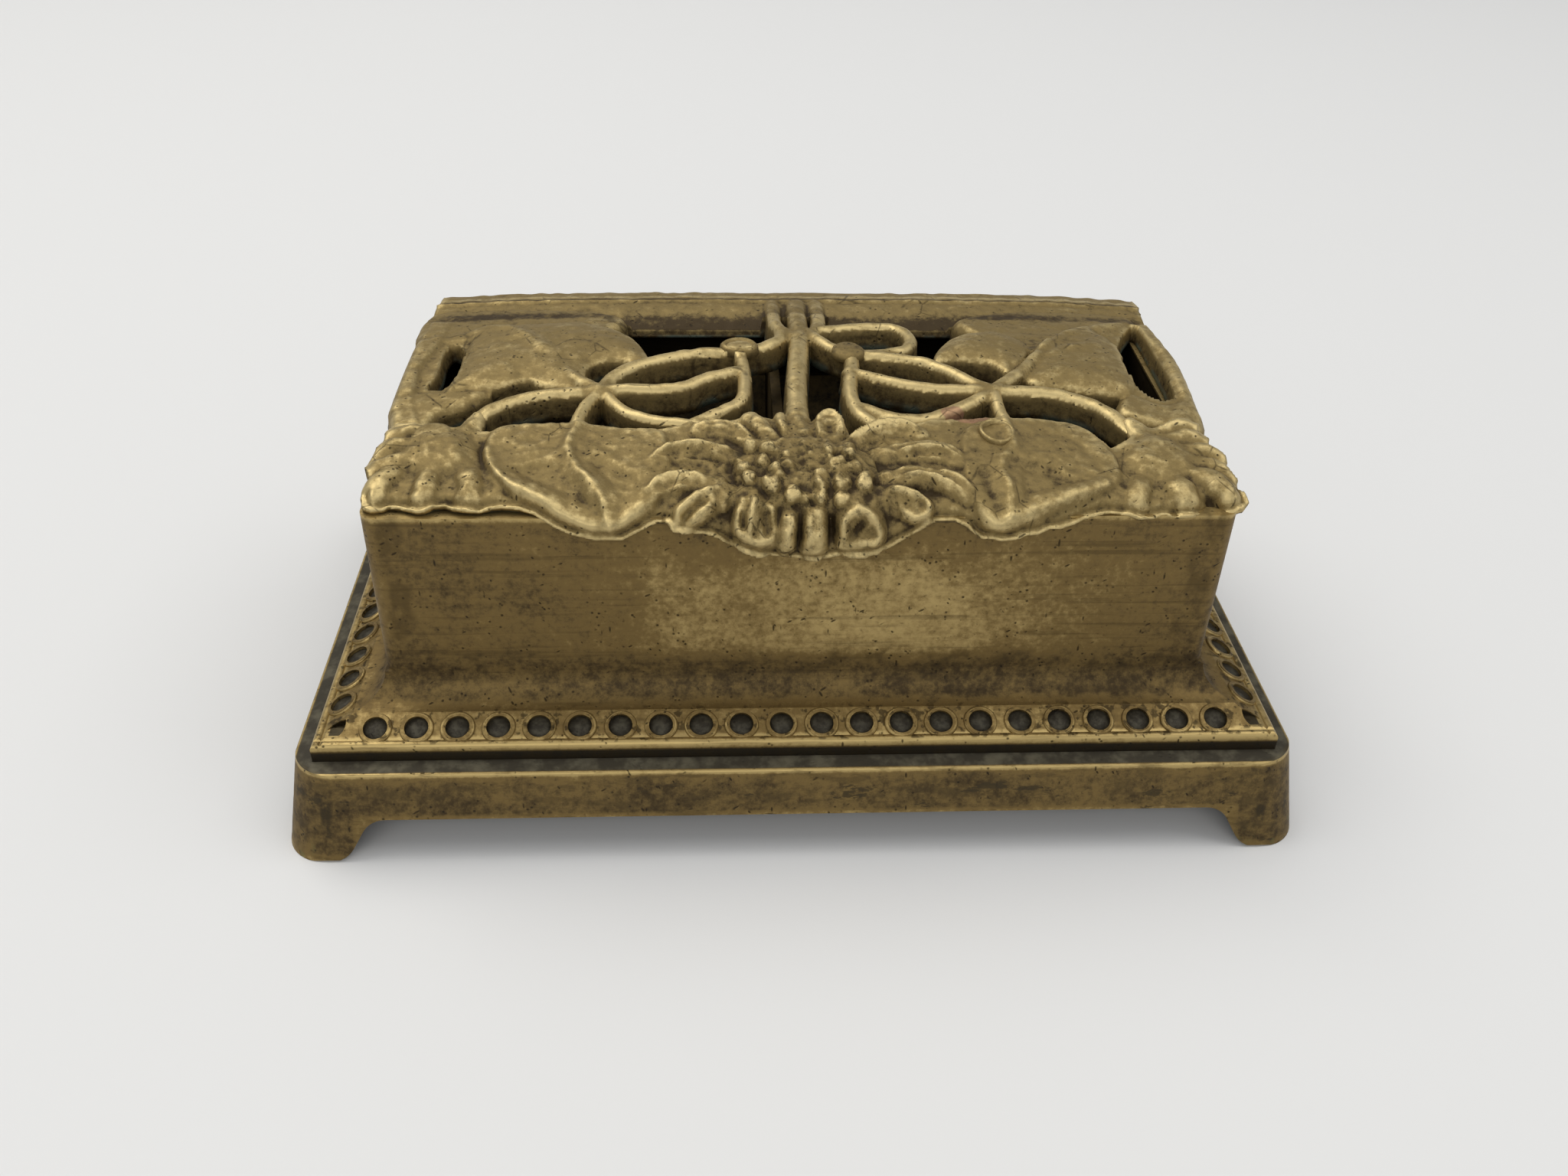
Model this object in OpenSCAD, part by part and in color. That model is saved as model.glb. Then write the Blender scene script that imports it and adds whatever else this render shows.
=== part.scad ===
// Brass stamp box: a footed plinth, a straight-walled body with a bead border at its base,
// two scooped stamp trays and a domed openwork lid on a rear hinge.
// Origin at the centre of the footprint on the table; +X right, +Y to the hinge side, +Z up.

/* [Plinth] */
// How far the plinth's top arris stands out from the bead border, front and rear
plinth_reach = 1.7; // [1.1:0.05:3]
// How far it stands out from the bead border at the sides
plinth_reach_side = 2.05; // [1.1:0.05:3]
// How far the front and rear faces lean outward from their top to the table
plinth_flare = 2; // [0.5:0.1:3]
// How far the side faces lean outward
plinth_flare_side = 1.5; // [0.5:0.1:3]
// Height of the plinth's top arris above the table
plinth_h = 9; // [8:0.1:12]
// Height of the apron's lower edge, between the feet
apron_z = 4.4; // [3.8:0.1:5.4]
// Radius of the plinth's upright corners
plinth_corner_r = 4; // [2.6:0.1:6]
// Thickness of the plinth's cast walls
plinth_wall = 1.8; // [1.2:0.1:2.4]
// Thickness of the plinth's top plate under the body
plinth_plate = 1.6; // [1.2:0.1:2.2]
// Width of the flat on which a bracket foot meets the table
foot_w = 4.3; // [3:0.1:5]
// Lean of a foot's inner edge away from upright, in degrees
foot_lean = 30; // [10:1:40]
// Rise of the plinth's ledge from its arris to the body
ledge_rise = 0.25; // [0:0.05:0.6]
// Depth of the seat that holds the body, below the plinth's top arris
seat_depth = 0.25; // [0.1:0.05:0.6]
// Gap round the body in its seat
seat_gap = 0.05; // [0.02:0.01:0.1]

/* [Body] */
// Width of the body over its side walls
body_w = 76.6; // [72:0.2:79]
// Depth of the body over its front and rear walls
body_d = 41.4; // [38:0.2:44]
// Height of the body's top edge above the table
body_top_z = 31.4; // [28:0.1:36]
// Thickness of the body's walls
body_wall = 1.4; // [1:0.1:2]
// Radius of the body's upright corners
body_corner_r = 1.5; // [0.8:0.1:3]
// Thickness of the body's floor
body_floor = 1.6; // [1:0.1:2.4]
// Thickness of the divider between the two compartments
divider_t = 1; // [0.6:0.1:1.6]
// How far the divider stands left of the middle
divider_left = 1.5; // [0:0.1:4]
// How far the divider stops below the body's top edge
divider_below = 1.9; // [1:0.1:6]

/* [Bead border] */
// How far the border's outer edge stands out from the side walls
border_reach = 6.15; // [5.5:0.05:7.5]
// How far the border's outer edge stands out from the front and rear walls
border_reach_front = 6.05; // [5.5:0.05:7.5]
// Height of the border's upright outer edge
skirt_edge_h = 1.8; // [1.4:0.05:2.6]
// Slope of the band that carries the beads, in degrees
band_slope = 24; // [12:1:28]
// Distance of the bead centres from the border's outer edge
bead_inset = 1.9; // [1.6:0.05:2.2]
// Distance of the bead centres from the hollow moulding's lower edge
bead_behind = 1.5; // [1.2:0.05:1.9]
// Radius of one sunk bead
bead_r = 1.1; // [0.8:0.05:1.2]
// Width of the raised ring round a bead
bead_ring = 0.32; // [0.2:0.02:0.4]
// Height of that ring above the band
bead_ring_h = 0.22; // [0.12:0.02:0.4]
// Depth of a sunk bead below the band
bead_depth = 0.35; // [0.2:0.05:0.6]
// Round beads along the front, without the corner leaves
beads_front = 22; // [18:1:24]
// Round beads along one side, without the corner leaves
beads_side = 13; // [10:1:14]

/* [Trays] */
// Outer radius of the scooped stamp trays
tray_r = 21.5; // [20.4:0.1:26]
// Thickness of the trays' sheet
tray_t = 0.6; // [0.4:0.05:0.9]
// Gap between a tray and what it stands between
tray_gap = 0.1; // [0.05:0.05:0.3]

/* [Lid] */
// How far the lid's sides stand out from the side walls
lid_side_reach = 0.3; // [0:0.05:0.8]
// How far the lid reaches behind the body's rear wall
lid_rear_reach = 2.8; // [2.7:0.1:3.2]
// How far the front turn starts behind the body's front wall
lid_turn_back = 2.7; // [2.4:0.1:4]
// Height of the lid's crown above the body's top edge
lid_crown = 3.2; // [2.6:0.1:5]
// Radius of the crown, front to back
lid_crown_r = 115; // [80:1:200]
// How far behind the middle the crown is highest
lid_crown_back = 2; // [-2:0.5:6]
// Radius of the front edge's turn down over the body
lid_turn_r = 4.8; // [4:0.1:5.4]
// Fall of the lid's surface at its sides
lid_side_fall = 0.8; // [0:0.1:1.2]
// How far in front of the rear edge the pattern's distances start
pattern_start = 0.5; // [0:0.1:1]
// Depth of the openwork below the lid's surface
lattice_depth = 2.4; // [1.6:0.1:2.8]
// Thickness of the lid's flowers and leaves
leaf_t = 1.1; // [0.8:0.1:1.4]
// Gap between the lid and the body's top edge when shut
lid_gap = 0.05; // [0.02:0.01:0.2]

/* [Hinge] */
// Radius of the hinge pin
pin_r = 0.45; // [0.35:0.05:0.5]
// Running clearance round the pin
pin_gap = 0.05; // [0.02:0.01:0.08]
// Radius of the knuckles
knuckle_r = 0.9; // [0.8:0.05:1]
// Length of the hinge along the rear edge
hinge_l = 60; // [40:1:68]
// Gap between neighbouring knuckles
knuckle_gap = 0.2; // [0.1:0.05:0.4]
// Thickness of the hinge leaves
hinge_t = 0.5; // [0.4:0.05:0.6]
// Height of the leaf soldered to the body's rear wall
rear_leaf_h = 5; // [3:0.5:10]
// Depth of the leaf soldered under the lid
lid_leaf_d = 3.4; // [2.4:0.1:5]
// How far the lid's turned-down rear edge hangs below the body's top edge
stop_drop = 0.5; // [0.2:0.1:1]

/* [Fasteners] */
// Radius of the base screws' thread
screw_r = 0.95; // [0.8:0.05:1.1]
// Radius of the base screws' heads
screw_head_r = 1.8; // [1.4:0.1:2.2]
// Height of the base screws' heads
screw_head_h = 1.1; // [0.8:0.1:1.4]
// Distance of the screws in from the border's outer edge
screw_inset = 8; // [7:0.5:12]
// Radius of the four plugs in the lid
plug_r = 1.25; // [1:0.05:1.5]
// Gap round a plug
plug_gap = 0.03; // [0.02:0.01:0.06]

/* [Hidden] */
$fn = 48;

brass = [0.48, 0.40, 0.24];
rubbed = [0.62, 0.53, 0.33];
dark = [0.30, 0.26, 0.18];

skirt_w = body_w + 2 * border_reach;
skirt_d = body_d + 2 * border_reach_front;
plinth_w = skirt_w + 2 * plinth_reach_side;
plinth_d = skirt_d + 2 * plinth_reach;
corner_step = 0.05;
seat_z = plinth_h - seat_depth;
plate_z = seat_z - plinth_plate;
rim_z = seat_z + skirt_edge_h;
cavetto_r = border_reach - bead_inset - bead_behind;
cavetto_rd = border_reach_front - bead_inset - bead_behind;
band_top_z = rim_z + (bead_inset + bead_behind) * tan(band_slope);
skirt_floor_z = band_top_z - 0.6;
floor_z = skirt_floor_z + body_floor;
inner_w = body_w - 2 * body_wall;
inner_d = body_d - 2 * body_wall;
screw_x = skirt_w / 2 - screw_inset;
screw_y = skirt_d / 2 - screw_inset;

lid_half = body_w / 2 + lid_side_reach;
lid_rear_y = body_d / 2 + lid_rear_reach;
turn_y = -body_d / 2 + lid_turn_back;
crown_z = body_top_z + lid_crown;
rear_angle = asin((lid_rear_y - lid_crown_back) / lid_crown_r);
turn_angle = asin((lid_crown_back - turn_y) / lid_crown_r);
degree = PI / 180;
turn_s = (rear_angle + turn_angle) * degree * lid_crown_r;
drop_s = turn_s + lid_turn_r * (90 - turn_angle) * degree;
// The pattern's places are typed for a lid this wide and this long over its surface, then stretched
drawn_w = 77.2;
drawn_l = 48.43;
pattern_x = 2 * lid_half / drawn_w;
pattern_s = drop_s / drawn_l;
turn_cy = turn_y + lid_turn_r * sin(turn_angle);
turn_cz = crown_z - lid_crown_r * (1 - cos(turn_angle)) - lid_turn_r * cos(turn_angle);

pin_y = body_d / 2 + hinge_t + 0.55;
pin_z = body_top_z - 0.35;
knuckles = 5;
knuckle_l = (hinge_l - (knuckles - 1) * knuckle_gap) / knuckles;
leaf_top_z = pin_z + knuckle_r;
flange_t = lid_rear_y - pin_y - knuckle_r - 0.3;

// Points along an arc
function arc(c, r, a0, a1, n = 6) =
    [for (i = [0:n]) let (a = a0 + (a1 - a0) * i / n) [c[0] + r * cos(a), c[1] + r * sin(a)]];

// A smooth curve through a few points
function curve(p, n = 4) =
    [for (i = [0:len(p) - 2], j = [0:n - 1])
        let (t = j / n, a = p[max(i - 1, 0)], b = p[i], c = p[i + 1], d = p[min(i + 2, len(p) - 1)])
        0.5 * (2 * b + (c - a) * t + (2 * a - 5 * b + 4 * c - d) * t * t
               + (3 * b - a - 3 * c + d) * t * t * t),
     p[len(p) - 1]];

// A place on the lid: x across, s along the surface from the pattern's start, h above it
function lid_angle(s) =
    let (q = s * pattern_s + pattern_start)
    q < turn_s ? q / lid_crown_r / degree - rear_angle
    : q < drop_s ? turn_angle + (q - turn_s) / lid_turn_r / degree : 90;
function lid_yz(s) =
    let (a = lid_angle(s), q = s * pattern_s + pattern_start)
    q < turn_s ? [lid_crown_back - lid_crown_r * sin(a), crown_z - lid_crown_r * (1 - cos(a))]
    : q < drop_s ? [turn_cy - lid_turn_r * sin(a), turn_cz + lid_turn_r * cos(a)]
    : [turn_cy - lid_turn_r, turn_cz - (q - drop_s)];
function on_lid(x, s, h) =
    let (a = lid_angle(s), p = lid_yz(s))
    [x * pattern_x, p[0] - h * sin(a),
     p[1] + h * cos(a) - lid_side_fall * pow(abs(x * pattern_x) / lid_half, 4)];

// Half of the plinth's elevation, from the middle of the apron round the foot to the top
function foot_side(half, flare, reach) =
    let (fr = 2.4, toe = 2.8, edge = 0.4, top = 0.25,
         low = half + flare,
         tc = [low - foot_w, toe],
         drop = apron_z - (fr + toe) * (1 - sin(foot_lean)),
         fc = [tc[0] - (fr + toe) * cos(foot_lean) - drop * tan(foot_lean), apron_z - fr])
    concat([[0, apron_z]],
           arc(fc, fr, 90, foot_lean, 6),
           arc(tc, toe, 180 + foot_lean, 270, 5),
           arc([low - edge, edge], edge, 270, 360, 3),
           arc([half - top, plinth_h - top], top, 0, 90, 4),
           [[half - reach, plinth_h + ledge_rise], [0, plinth_h + ledge_rise]]);

module both_halves(points) {
    n = len(points);
    polygon(concat(points, [for (i = [n - 2:-1:1]) [-points[i][0], points[i][1]]]));
}

module rounded_rect(w, d, r) {
    square([w - 2 * r, d], center = true);
    square([w, d - 2 * r], center = true);
    for (x = [-1, 1], y = [-1, 1])
        translate([x * (w / 2 - r), y * (d / 2 - r)]) circle(r);
}

// A profile drawn in X and Z, carried through the whole depth
module through_depth(d) {
    rotate([90, 0, 0]) translate([0, 0, -d / 2]) linear_extrude(d) children();
}

module through_width(w) {
    rotate([90, 0, 90]) translate([0, 0, -w / 2]) linear_extrude(w) children();
}

module at_screws(z) {
    for (x = [-1, 1], y = [-1, 1]) translate([x * screw_x, y * screw_y, z]) children();
}

// A block whose faces lean outward to the table, half sizes given at the plinth's top
module leaning_block(hx, hy) {
    f = plinth_flare;
    g = plinth_flare_side;
    u = f / plinth_h;
    v = g / plinth_h;
    h = plinth_h + 1;
    intersection() {
        through_depth(2 * (hy + f + 1)) polygon([[-hx - g - v, -1], [hx + g + v, -1], [hx - v, h], [-hx + v, h]]);
        through_width(2 * (hx + g + 1)) polygon([[-hy - f - u, -1], [hy + f + u, -1], [hy - u, h], [-hy + u, h]]);
    }
}

// The plinth's solid outline: leaning faces with corner columns that lean both ways.
// The columns stand a hair inside the faces, so that no two surfaces only touch.
module plinth_block() {
    hx = plinth_w / 2;
    hy = plinth_d / 2;
    r = plinth_corner_r;
    leaning_block(hx, hy - r);
    leaning_block(hx - r, hy);
    for (x = [-1, 1], y = [-1, 1])
        multmatrix([[1, 0, -x * plinth_flare_side / plinth_h, x * (hx - r + plinth_flare_side)],
                    [0, 1, -y * plinth_flare / plinth_h, y * (hy - r + plinth_flare)],
                    [0, 0, 1, 0]])
            translate([0, 0, -1]) linear_extrude(plinth_h + 2) circle(r - corner_step, $fn = 64);
}

module plinth() {
    color(brass) difference() {
        intersection() {
            plinth_block();
            through_depth(plinth_d + 2 * plinth_flare + 2)
                both_halves(foot_side(plinth_w / 2, plinth_flare_side, plinth_reach_side));
            through_width(plinth_w + 2 * plinth_flare_side + 2)
                both_halves(foot_side(plinth_d / 2, plinth_flare, plinth_reach));
        }
        intersection() {
            leaning_block(plinth_w / 2 - plinth_wall, plinth_d / 2 - plinth_wall);
            translate([0, 0, -1]) linear_extrude(plate_z + 1) square(2 * plinth_w, center = true);
        }
        translate([0, 0, seat_z]) linear_extrude(seat_depth + 1)
            square([skirt_w + 2 * seat_gap, skirt_d + 2 * seat_gap], center = true);
        at_screws(plate_z - 1) cylinder(h = plinth_plate + 2, r = screw_r + 0.15);
    }
}

// The border's section on one side of the body: upright edge, sloped band and cavetto
module skirt_side(half, wall_half, cr) {
    difference() {
        polygon([[0, seat_z], [half, seat_z], [half, rim_z],
                 [wall_half + cr, band_top_z], [wall_half + cr, band_top_z + cr],
                 [0, band_top_z + cr]]);
        translate([wall_half + cr, band_top_z + cr]) circle(cr);
    }
    translate([half - 0.5, rim_z]) circle(0.5);
}

module skirt_profile(half, wall_half, cr) {
    skirt_side(half, wall_half, cr);
    mirror([1, 0]) skirt_side(half, wall_half, cr);
}

// Places on the sloped band, z along its normal
module at_beads() {
    bx = skirt_w / 2 - bead_inset;
    by = skirt_d / 2 - bead_inset;
    bz = rim_z + bead_inset * tan(band_slope);
    for (i = [1:beads_front], side = [-1, 1])
        translate([-bx + i * 2 * bx / (beads_front + 1), side * by, bz])
            rotate([-side * band_slope, 0, 0]) children();
    for (i = [1:beads_side], side = [-1, 1])
        translate([side * bx, -by + i * 2 * by / (beads_side + 1), bz])
            rotate([0, side * band_slope, 0]) children();
}

module corner_leaf() {
    linear_extrude(1.5) intersection() {
        translate([0.75, 0]) circle(1.5);
        translate([-0.75, 0]) circle(1.5);
    }
}

module body() {
    color(rubbed) difference() {
        union() {
            intersection() {
                through_depth(skirt_d) skirt_profile(skirt_w / 2, body_w / 2, cavetto_r);
                through_width(skirt_w) skirt_profile(skirt_d / 2, body_d / 2, cavetto_rd);
            }
            translate([0, 0, band_top_z - 1]) linear_extrude(body_top_z - band_top_z + 1)
                rounded_rect(body_w, body_d, body_corner_r);
            at_beads() translate([0, 0, -0.4])
                cylinder(h = 0.4 + bead_ring_h, r = bead_r + bead_ring);
        }
        at_beads() translate([0, 0, -bead_depth]) cylinder(h = bead_depth + 1, r = bead_r);
        for (x = [-1, 1], y = [-1, 1])
            translate([x * (skirt_w / 2 - bead_inset), y * (skirt_d / 2 - bead_inset),
                       rim_z + bead_inset * tan(band_slope) - bead_depth])
                rotate([0, 0, x * y * 45 + 90]) corner_leaf();
        translate([0, 0, floor_z]) linear_extrude(body_top_z)
            rounded_rect(inner_w, inner_d, max(body_corner_r - body_wall, 0.3) + 0.3);
        difference() {
            translate([0, 0, seat_z - 1]) linear_extrude(skirt_floor_z - seat_z + 1)
                rounded_rect(skirt_w - 7, skirt_d - 7, 1.5);
            at_screws(seat_z - 1) cylinder(h = skirt_floor_z - seat_z + 2, r = 2.6);
        }
        at_screws(seat_z - 1) cylinder(h = skirt_floor_z - seat_z + 1.9, r = screw_r + 0.03);
    }
}

module divider() {
    color(dark)
        translate([-divider_left - divider_t / 2, -inner_d / 2 + 0.05, floor_z])
            cube([divider_t, inner_d - 0.1, body_top_z - divider_below - floor_z]);
}

// A sheet rolled to a scoop that touches the floor and rises to the front and rear walls
module tray(x0, x1) {
    half = inner_d / 2 - tray_gap;
    cz = floor_z + tray_r;
    rise = tray_r - sqrt(tray_r * tray_r - half * half);
    translate([x0, 0, cz]) rotate([90, 0, 90]) linear_extrude(x1 - x0)
        intersection() {
            difference() {
                circle(tray_r);
                circle(tray_r - tray_t);
            }
            translate([-half, -tray_r - 1]) square([2 * half, rise + 1]);
        }
}

module left_tray() {
    color(dark) tray(-inner_w / 2 + tray_gap, -divider_left - divider_t / 2 - tray_gap);
}

module right_tray() {
    color(dark) tray(-divider_left + divider_t / 2 + tray_gap, inner_w / 2 - tray_gap);
}

// A bar of the openwork: a rounded back that follows a path over the lid
module vine(points, w, rise = 0.7, depth = lattice_depth, steps = 3) {
    path = curve(points, steps);
    section = [[-w / 2, -depth], [-w / 2, 0.1], [-0.27 * w, rise], [0.27 * w, rise],
               [w / 2, 0.1], [w / 2, -depth]];
    n = len(path);
    m = len(section);
    polyhedron(
        [for (i = [0:n - 1])
            let (a = path[max(i - 1, 0)], b = path[min(i + 1, n - 1)], d = (b - a) / norm(b - a))
            for (q = section)
                on_lid(path[i][0] - d[1] * q[0], path[i][1] + d[0] * q[0], q[1])],
        concat([[for (j = [0:m - 1]) j]],
               [[for (j = [m - 1:-1:0]) (n - 1) * m + j]],
               [for (i = [0:n - 2], j = [0:m - 1])
                   let (k = (j + 1) % m) [i * m + j, (i + 1) * m + j, (i + 1) * m + k, i * m + k]]),
        convexity = 8);
}

// A plate between two edges that cross the lid from left to right
module plate(rear, front, t, rows = 2, h = 0) {
    n = len(rear);
    m = rows + 1;
    k = n * m;
    polyhedron(
        [for (g = [h, -t], i = [0:n - 1], j = [0:rows])
            let (q = rear[i] + (front[i] - rear[i]) * j / rows) on_lid(q[0], q[1], g)],
        concat([for (i = [0:n - 2], j = [0:rows - 1])
                   let (p = i * m + j) [p, p + m, p + m + 1, p + 1]],
               [for (i = [0:n - 2], j = [0:rows - 1])
                   let (p = k + i * m + j) [p, p + 1, p + m + 1, p + m]],
               [for (i = [0:n - 2]) let (p = i * m) [p + m, p, k + p, k + p + m]],
               [for (i = [0:n - 2]) let (p = i * m + rows) [p, p + m, k + p + m, k + p]],
               [for (j = [0:rows - 1]) [j, j + 1, k + j + 1, k + j]],
               [for (j = [0:rows - 1]) let (p = (n - 1) * m + j) [p + 1, p, k + p, k + p + 1]]),
        convexity = 8);
}

// A raised shape: rings of points from its middle to its outline, listed clockwise from above
module relief(outline, mid, t, rings, height, steps = 2) {
    loop = curve(concat(outline, [outline[0]]), steps);
    n = len(loop) - 1;
    m = len(rings);
    polyhedron(
        concat([for (v = rings, i = [0:n - 1])
                   let (q = mid + (loop[i] - mid) * v) on_lid(q[0], q[1], height(i / n, v))],
               [for (i = [0:n - 1]) on_lid(loop[i][0], loop[i][1], -t)]),
        concat([[for (i = [0:n - 1]) i]],
               [for (j = [0:m - 2], i = [0:n - 1])
                   let (k = (i + 1) % n) [j * n + i, (j + 1) * n + i, (j + 1) * n + k, j * n + k]],
               [for (i = [0:n - 1])
                   let (k = (i + 1) % n, o = (m - 1) * n) [o + k, o + i, o + n + i, o + n + k]],
               [[for (i = [n - 1:-1:0]) m * n + i]]),
        convexity = 8);
}

module at_lid(x, s, h = 0) {
    translate(on_lid(x, s, h)) rotate([lid_angle(s), 0, 0]) children();
}

// A short raised knob that stands on the lid
module knob(x, s, r, h) {
    at_lid(x, s) hull() {
        translate([0, 0, -0.6]) cylinder(h = 0.6 + h * 0.4, r = r, $fn = 8);
        translate([0, 0, h * 0.4]) cylinder(h = h * 0.6, r = r * 0.5, $fn = 8);
    }
}

// A leaf that swells to its middle and thins to its rim
module leaf(outline, mid, crown, t = leaf_t) {
    relief(outline, mid, t, [0.12, 0.5, 0.8, 1],
           function (i, v) 0.25 + crown * (v < 0.5 ? 1 : v < 0.9 ? 0.75 : 0));
}

// A flower with petals raised between grooves, round a hub that sinks in its middle
module flower(mid, rx, rs, petals, t, hub, crown, skew = [0, 0]) {
    n = 4 * petals;
    relief([for (i = [0:n - 1])
               let (a = 180 - i * 360 / n, out = i % 4 == 0 ? 0.9 : i % 4 == 2 ? 1 : 0.98)
               mid + [rx * out * cos(a), -rs * out * sin(a)]],
           mid + skew, t, concat([0.1, hub * 0.62, hub * 0.94, hub * 1.04], [0.74, 1]),
           function (i, v)
               let (k = round(i * n), groove = k % 4 == 0 ? 1 : k % 4 == 2 ? 0 : 0.15)
               v < hub * 0.5 ? crown * 0.8
               : v < hub * 0.8 ? crown * (k % 4 < 2 ? 1.25 : 0.85)
               : v < hub ? crown * 0.8
               : v < 0.6 ? crown * (0.35 - 0.15 * groove)
               : v < 0.9 ? crown * (0.85 - 0.6 * groove)
               : crown * (0.25 - 0.2 * groove),
           1);
}

module lid_ground() {
    // Rear band and the grounds behind the leaves and round the slots
    plate([[-37.4, -0.5], [-20, -0.5], [0, -0.5], [20, -0.5], [38.6, -0.5]],
          [[-37.6, 8.4], [-20, 8.4], [0, 8.2], [20, 8.4], [38.6, 8.4]], lattice_depth, 1);
    plate([[-37.6, 8], [-33.6, 8], [-28, 8], [-17, 8]],
          [[-37.6, 14.9], [-33.6, 14.9], [-22, 15], [-18, 12]], 1.4);
    plate([[17, 8], [24, 8], [33, 8], [37.4, 8]],
          [[18, 13.4], [25, 18], [33.4, 15], [37.4, 10.2]], 1.4);
    plate([[-37.4, 8], [-35.4, 8]], [[-37.4, 31.6], [-35.4, 31.6]], 1.4, 4);
    plate([[-37, 25.8], [-33.2, 25], [-29, 25]], [[-37, 31.6], [-34.6, 29.6], [-31, 27.8]], lattice_depth, 1);
    plate([[32.6, 25], [35, 27.2], [38, 25.6]], [[31, 29.2], [34.8, 31.4], [38, 31.4]], lattice_depth, 1);
}

module lid_lattice() {
    // Rear rail and side rails
    vine([[-37.2, 3], [0, 2.8], [38.4, 3]], 1.2, 0.5, 1);
    vine([[-36.8, -0.3], [-37, 14], [-37.2, 27], [-36.8, 32]], 1.6, 0.5);
    vine([[38.2, -0.3], [38.4, 14], [38.4, 27], [37.4, 31.6]], 1.9, 0.6);
    // Centre stem with its two short companions
    vine([[1, -0.4], [0.8, 15], [0.2, 33]], 1.7, 0.8);
    vine([[-1.5, -0.4], [-1.4, 11.6], [0.4, 15.4]], 1.1, 0.6);
    vine([[3.3, -0.4], [3, 11.6], [1.4, 15.2]], 1.2, 0.6);
    // Left stems
    vine([[0.4, 14.4], [-5.4, 18.2], [-10, 18.9], [-14.6, 20.9], [-18.6, 26.2], [-20.4, 31.6]], 1.4);
    vine([[-5.2, 22.4], [-8.8, 23.9], [-12, 25.7], [-18.6, 26.4], [-24.2, 27.2], [-28, 29.2], [-30.4, 33.4]], 1.4);
    vine([[-5.4, 18.6], [-4.9, 23.6], [-6, 28.6], [-9.6, 32]], 1.2);
    vine([[-18.6, 26.4], [-16, 29.8], [-12.6, 31.6], [-6.6, 32.6]], 1.2);
    vine([[-31.6, 9.6], [-27, 12.4], [-23.4, 18.8], [-18.6, 26.4]], 1, 1);
    // Right stems
    vine([[1.2, 13.4], [5.6, 18.8], [10.4, 19.6], [15, 22.2], [19, 26.2], [19.4, 32.6]], 1.4);
    vine([[5.4, 22.8], [10.4, 25.1], [19, 26.4], [24.4, 26.8], [28.6, 29.4], [32.2, 34]], 1.4);
    vine([[5.5, 19], [5.5, 25], [6.6, 31]], 1.3);
    vine([[5.6, 29.4], [9.6, 31.2], [13, 30.9], [19, 26.4]], 1.3);
    vine([[19, 26.2], [23.2, 20.8], [26.4, 15.2], [30.6, 10.6], [35.4, 9.4]], 1, 1);
    // Tendril on the right only
    vine([[3.2, 12.6], [7.4, 11.6], [11.2, 12], [12.2, 15], [10.6, 18], [7, 19.2]], 1.2);
}

module lid_leaves() {
    // Rear left leaf, then the two lobes of the rear right leaf
    leaf([[-32.4, 17.4], [-33.6, 12.8], [-30, 10.8], [-23.6, 9.8], [-18.4, 12], [-15.2, 16.4], [-14, 20.4],
          [-17.8, 19.6], [-20.4, 22], [-19.6, 25.4], [-25.4, 24.4], [-29.2, 25.4], [-33.4, 26.2], [-32.8, 22]],
         [-24, 17.6], 0.8);
    leaf([[14.2, 20], [15.2, 16.2], [18.4, 12.9], [22.2, 12.8], [24, 16.6], [21.4, 22.6], [19, 20.1], [16, 19.6]],
         [19, 16.8], 0.7);
    leaf([[23.6, 20.6], [26.8, 14.8], [32.4, 12.6], [34, 16], [33.8, 22], [32.6, 25.8], [27, 25.4], [22.4, 24]],
         [28.6, 19.6], 0.9);
    // Front leaves
    leaf([[-28.4, 37], [-27.6, 33.4], [-21, 32.2], [-13, 33.2], [-12.4, 38], [-13, 43.6], [-15.6, 45.8],
          [-19.6, 45.6], [-24.8, 43.2], [-27.6, 40.4]], [-20.6, 38.2], 0.9, 0.6);
    leaf([[13.6, 38.4], [14.2, 33.8], [19.6, 32.4], [24.8, 32.2], [27.8, 35.4], [28.4, 39], [26, 42.3],
          [20.4, 44.8], [17, 46], [14.6, 44]], [20.6, 38.2], 0.9, 0.6);
}

module lid_front() {
    // The plate that carries the flowers and turns down over the front
    plate([[-38.2, 31], [-33, 31.4], [-28, 33.6], [-24, 32.8], [-20, 32], [-16, 31.8], [-12.6, 31.6],
           [-8.2, 31.6], [-4.6, 31.6], [0, 31.6], [4.4, 31.2], [8.3, 31], [11.3, 31.4], [15, 31.8],
           [20.4, 32.2], [25.9, 33], [31, 32.8], [38.6, 30.6]],
          [[-38.2, 42.6], [-33, 43.4], [-28, 43.7], [-23.4, 43.9], [-19.9, 45.6], [-15.8, 46.1], [-12.7, 44.9],
           [-8.2, 45.9], [-4.6, 47.5], [0.1, 47.9], [4.2, 47.6], [8.3, 46.5], [11.3, 44.8], [15.6, 46.1],
           [20.4, 45.8], [25.9, 44.1], [31, 44.5], [38.8, 42.8]], 1.1, 8, -0.1);
    // Midribs of the front leaves
    vine([[-20.4, 31], [-20.9, 36.4], [-18.4, 41], [-16.8, 45.6]], 0.9, 1.5, 0.4);
    vine([[19.2, 31], [19.4, 35], [17.9, 40], [17.2, 45.4]], 0.9, 1.5, 0.4);
    // Sunflower and the corner flowers
    flower([0.2, 39.7], 12.6, 8.3, 18, 1.2, 0.5, 1.2, [-0.2, 0.2]);
    flower([-33, 37.4], 5.6, 6.3, 9, 1.2, 0.42, 1.1, [0, -1.8]);
    flower([33, 37.4], 5.9, 6.5, 9, 1.2, 0.42, 1.1, [0, -1.4]);
    for (i = [0:11]) knob(4.3 * cos(i * 30), 39.7 + 3.3 * sin(i * 30), 0.7, 1.9);
}

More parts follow.
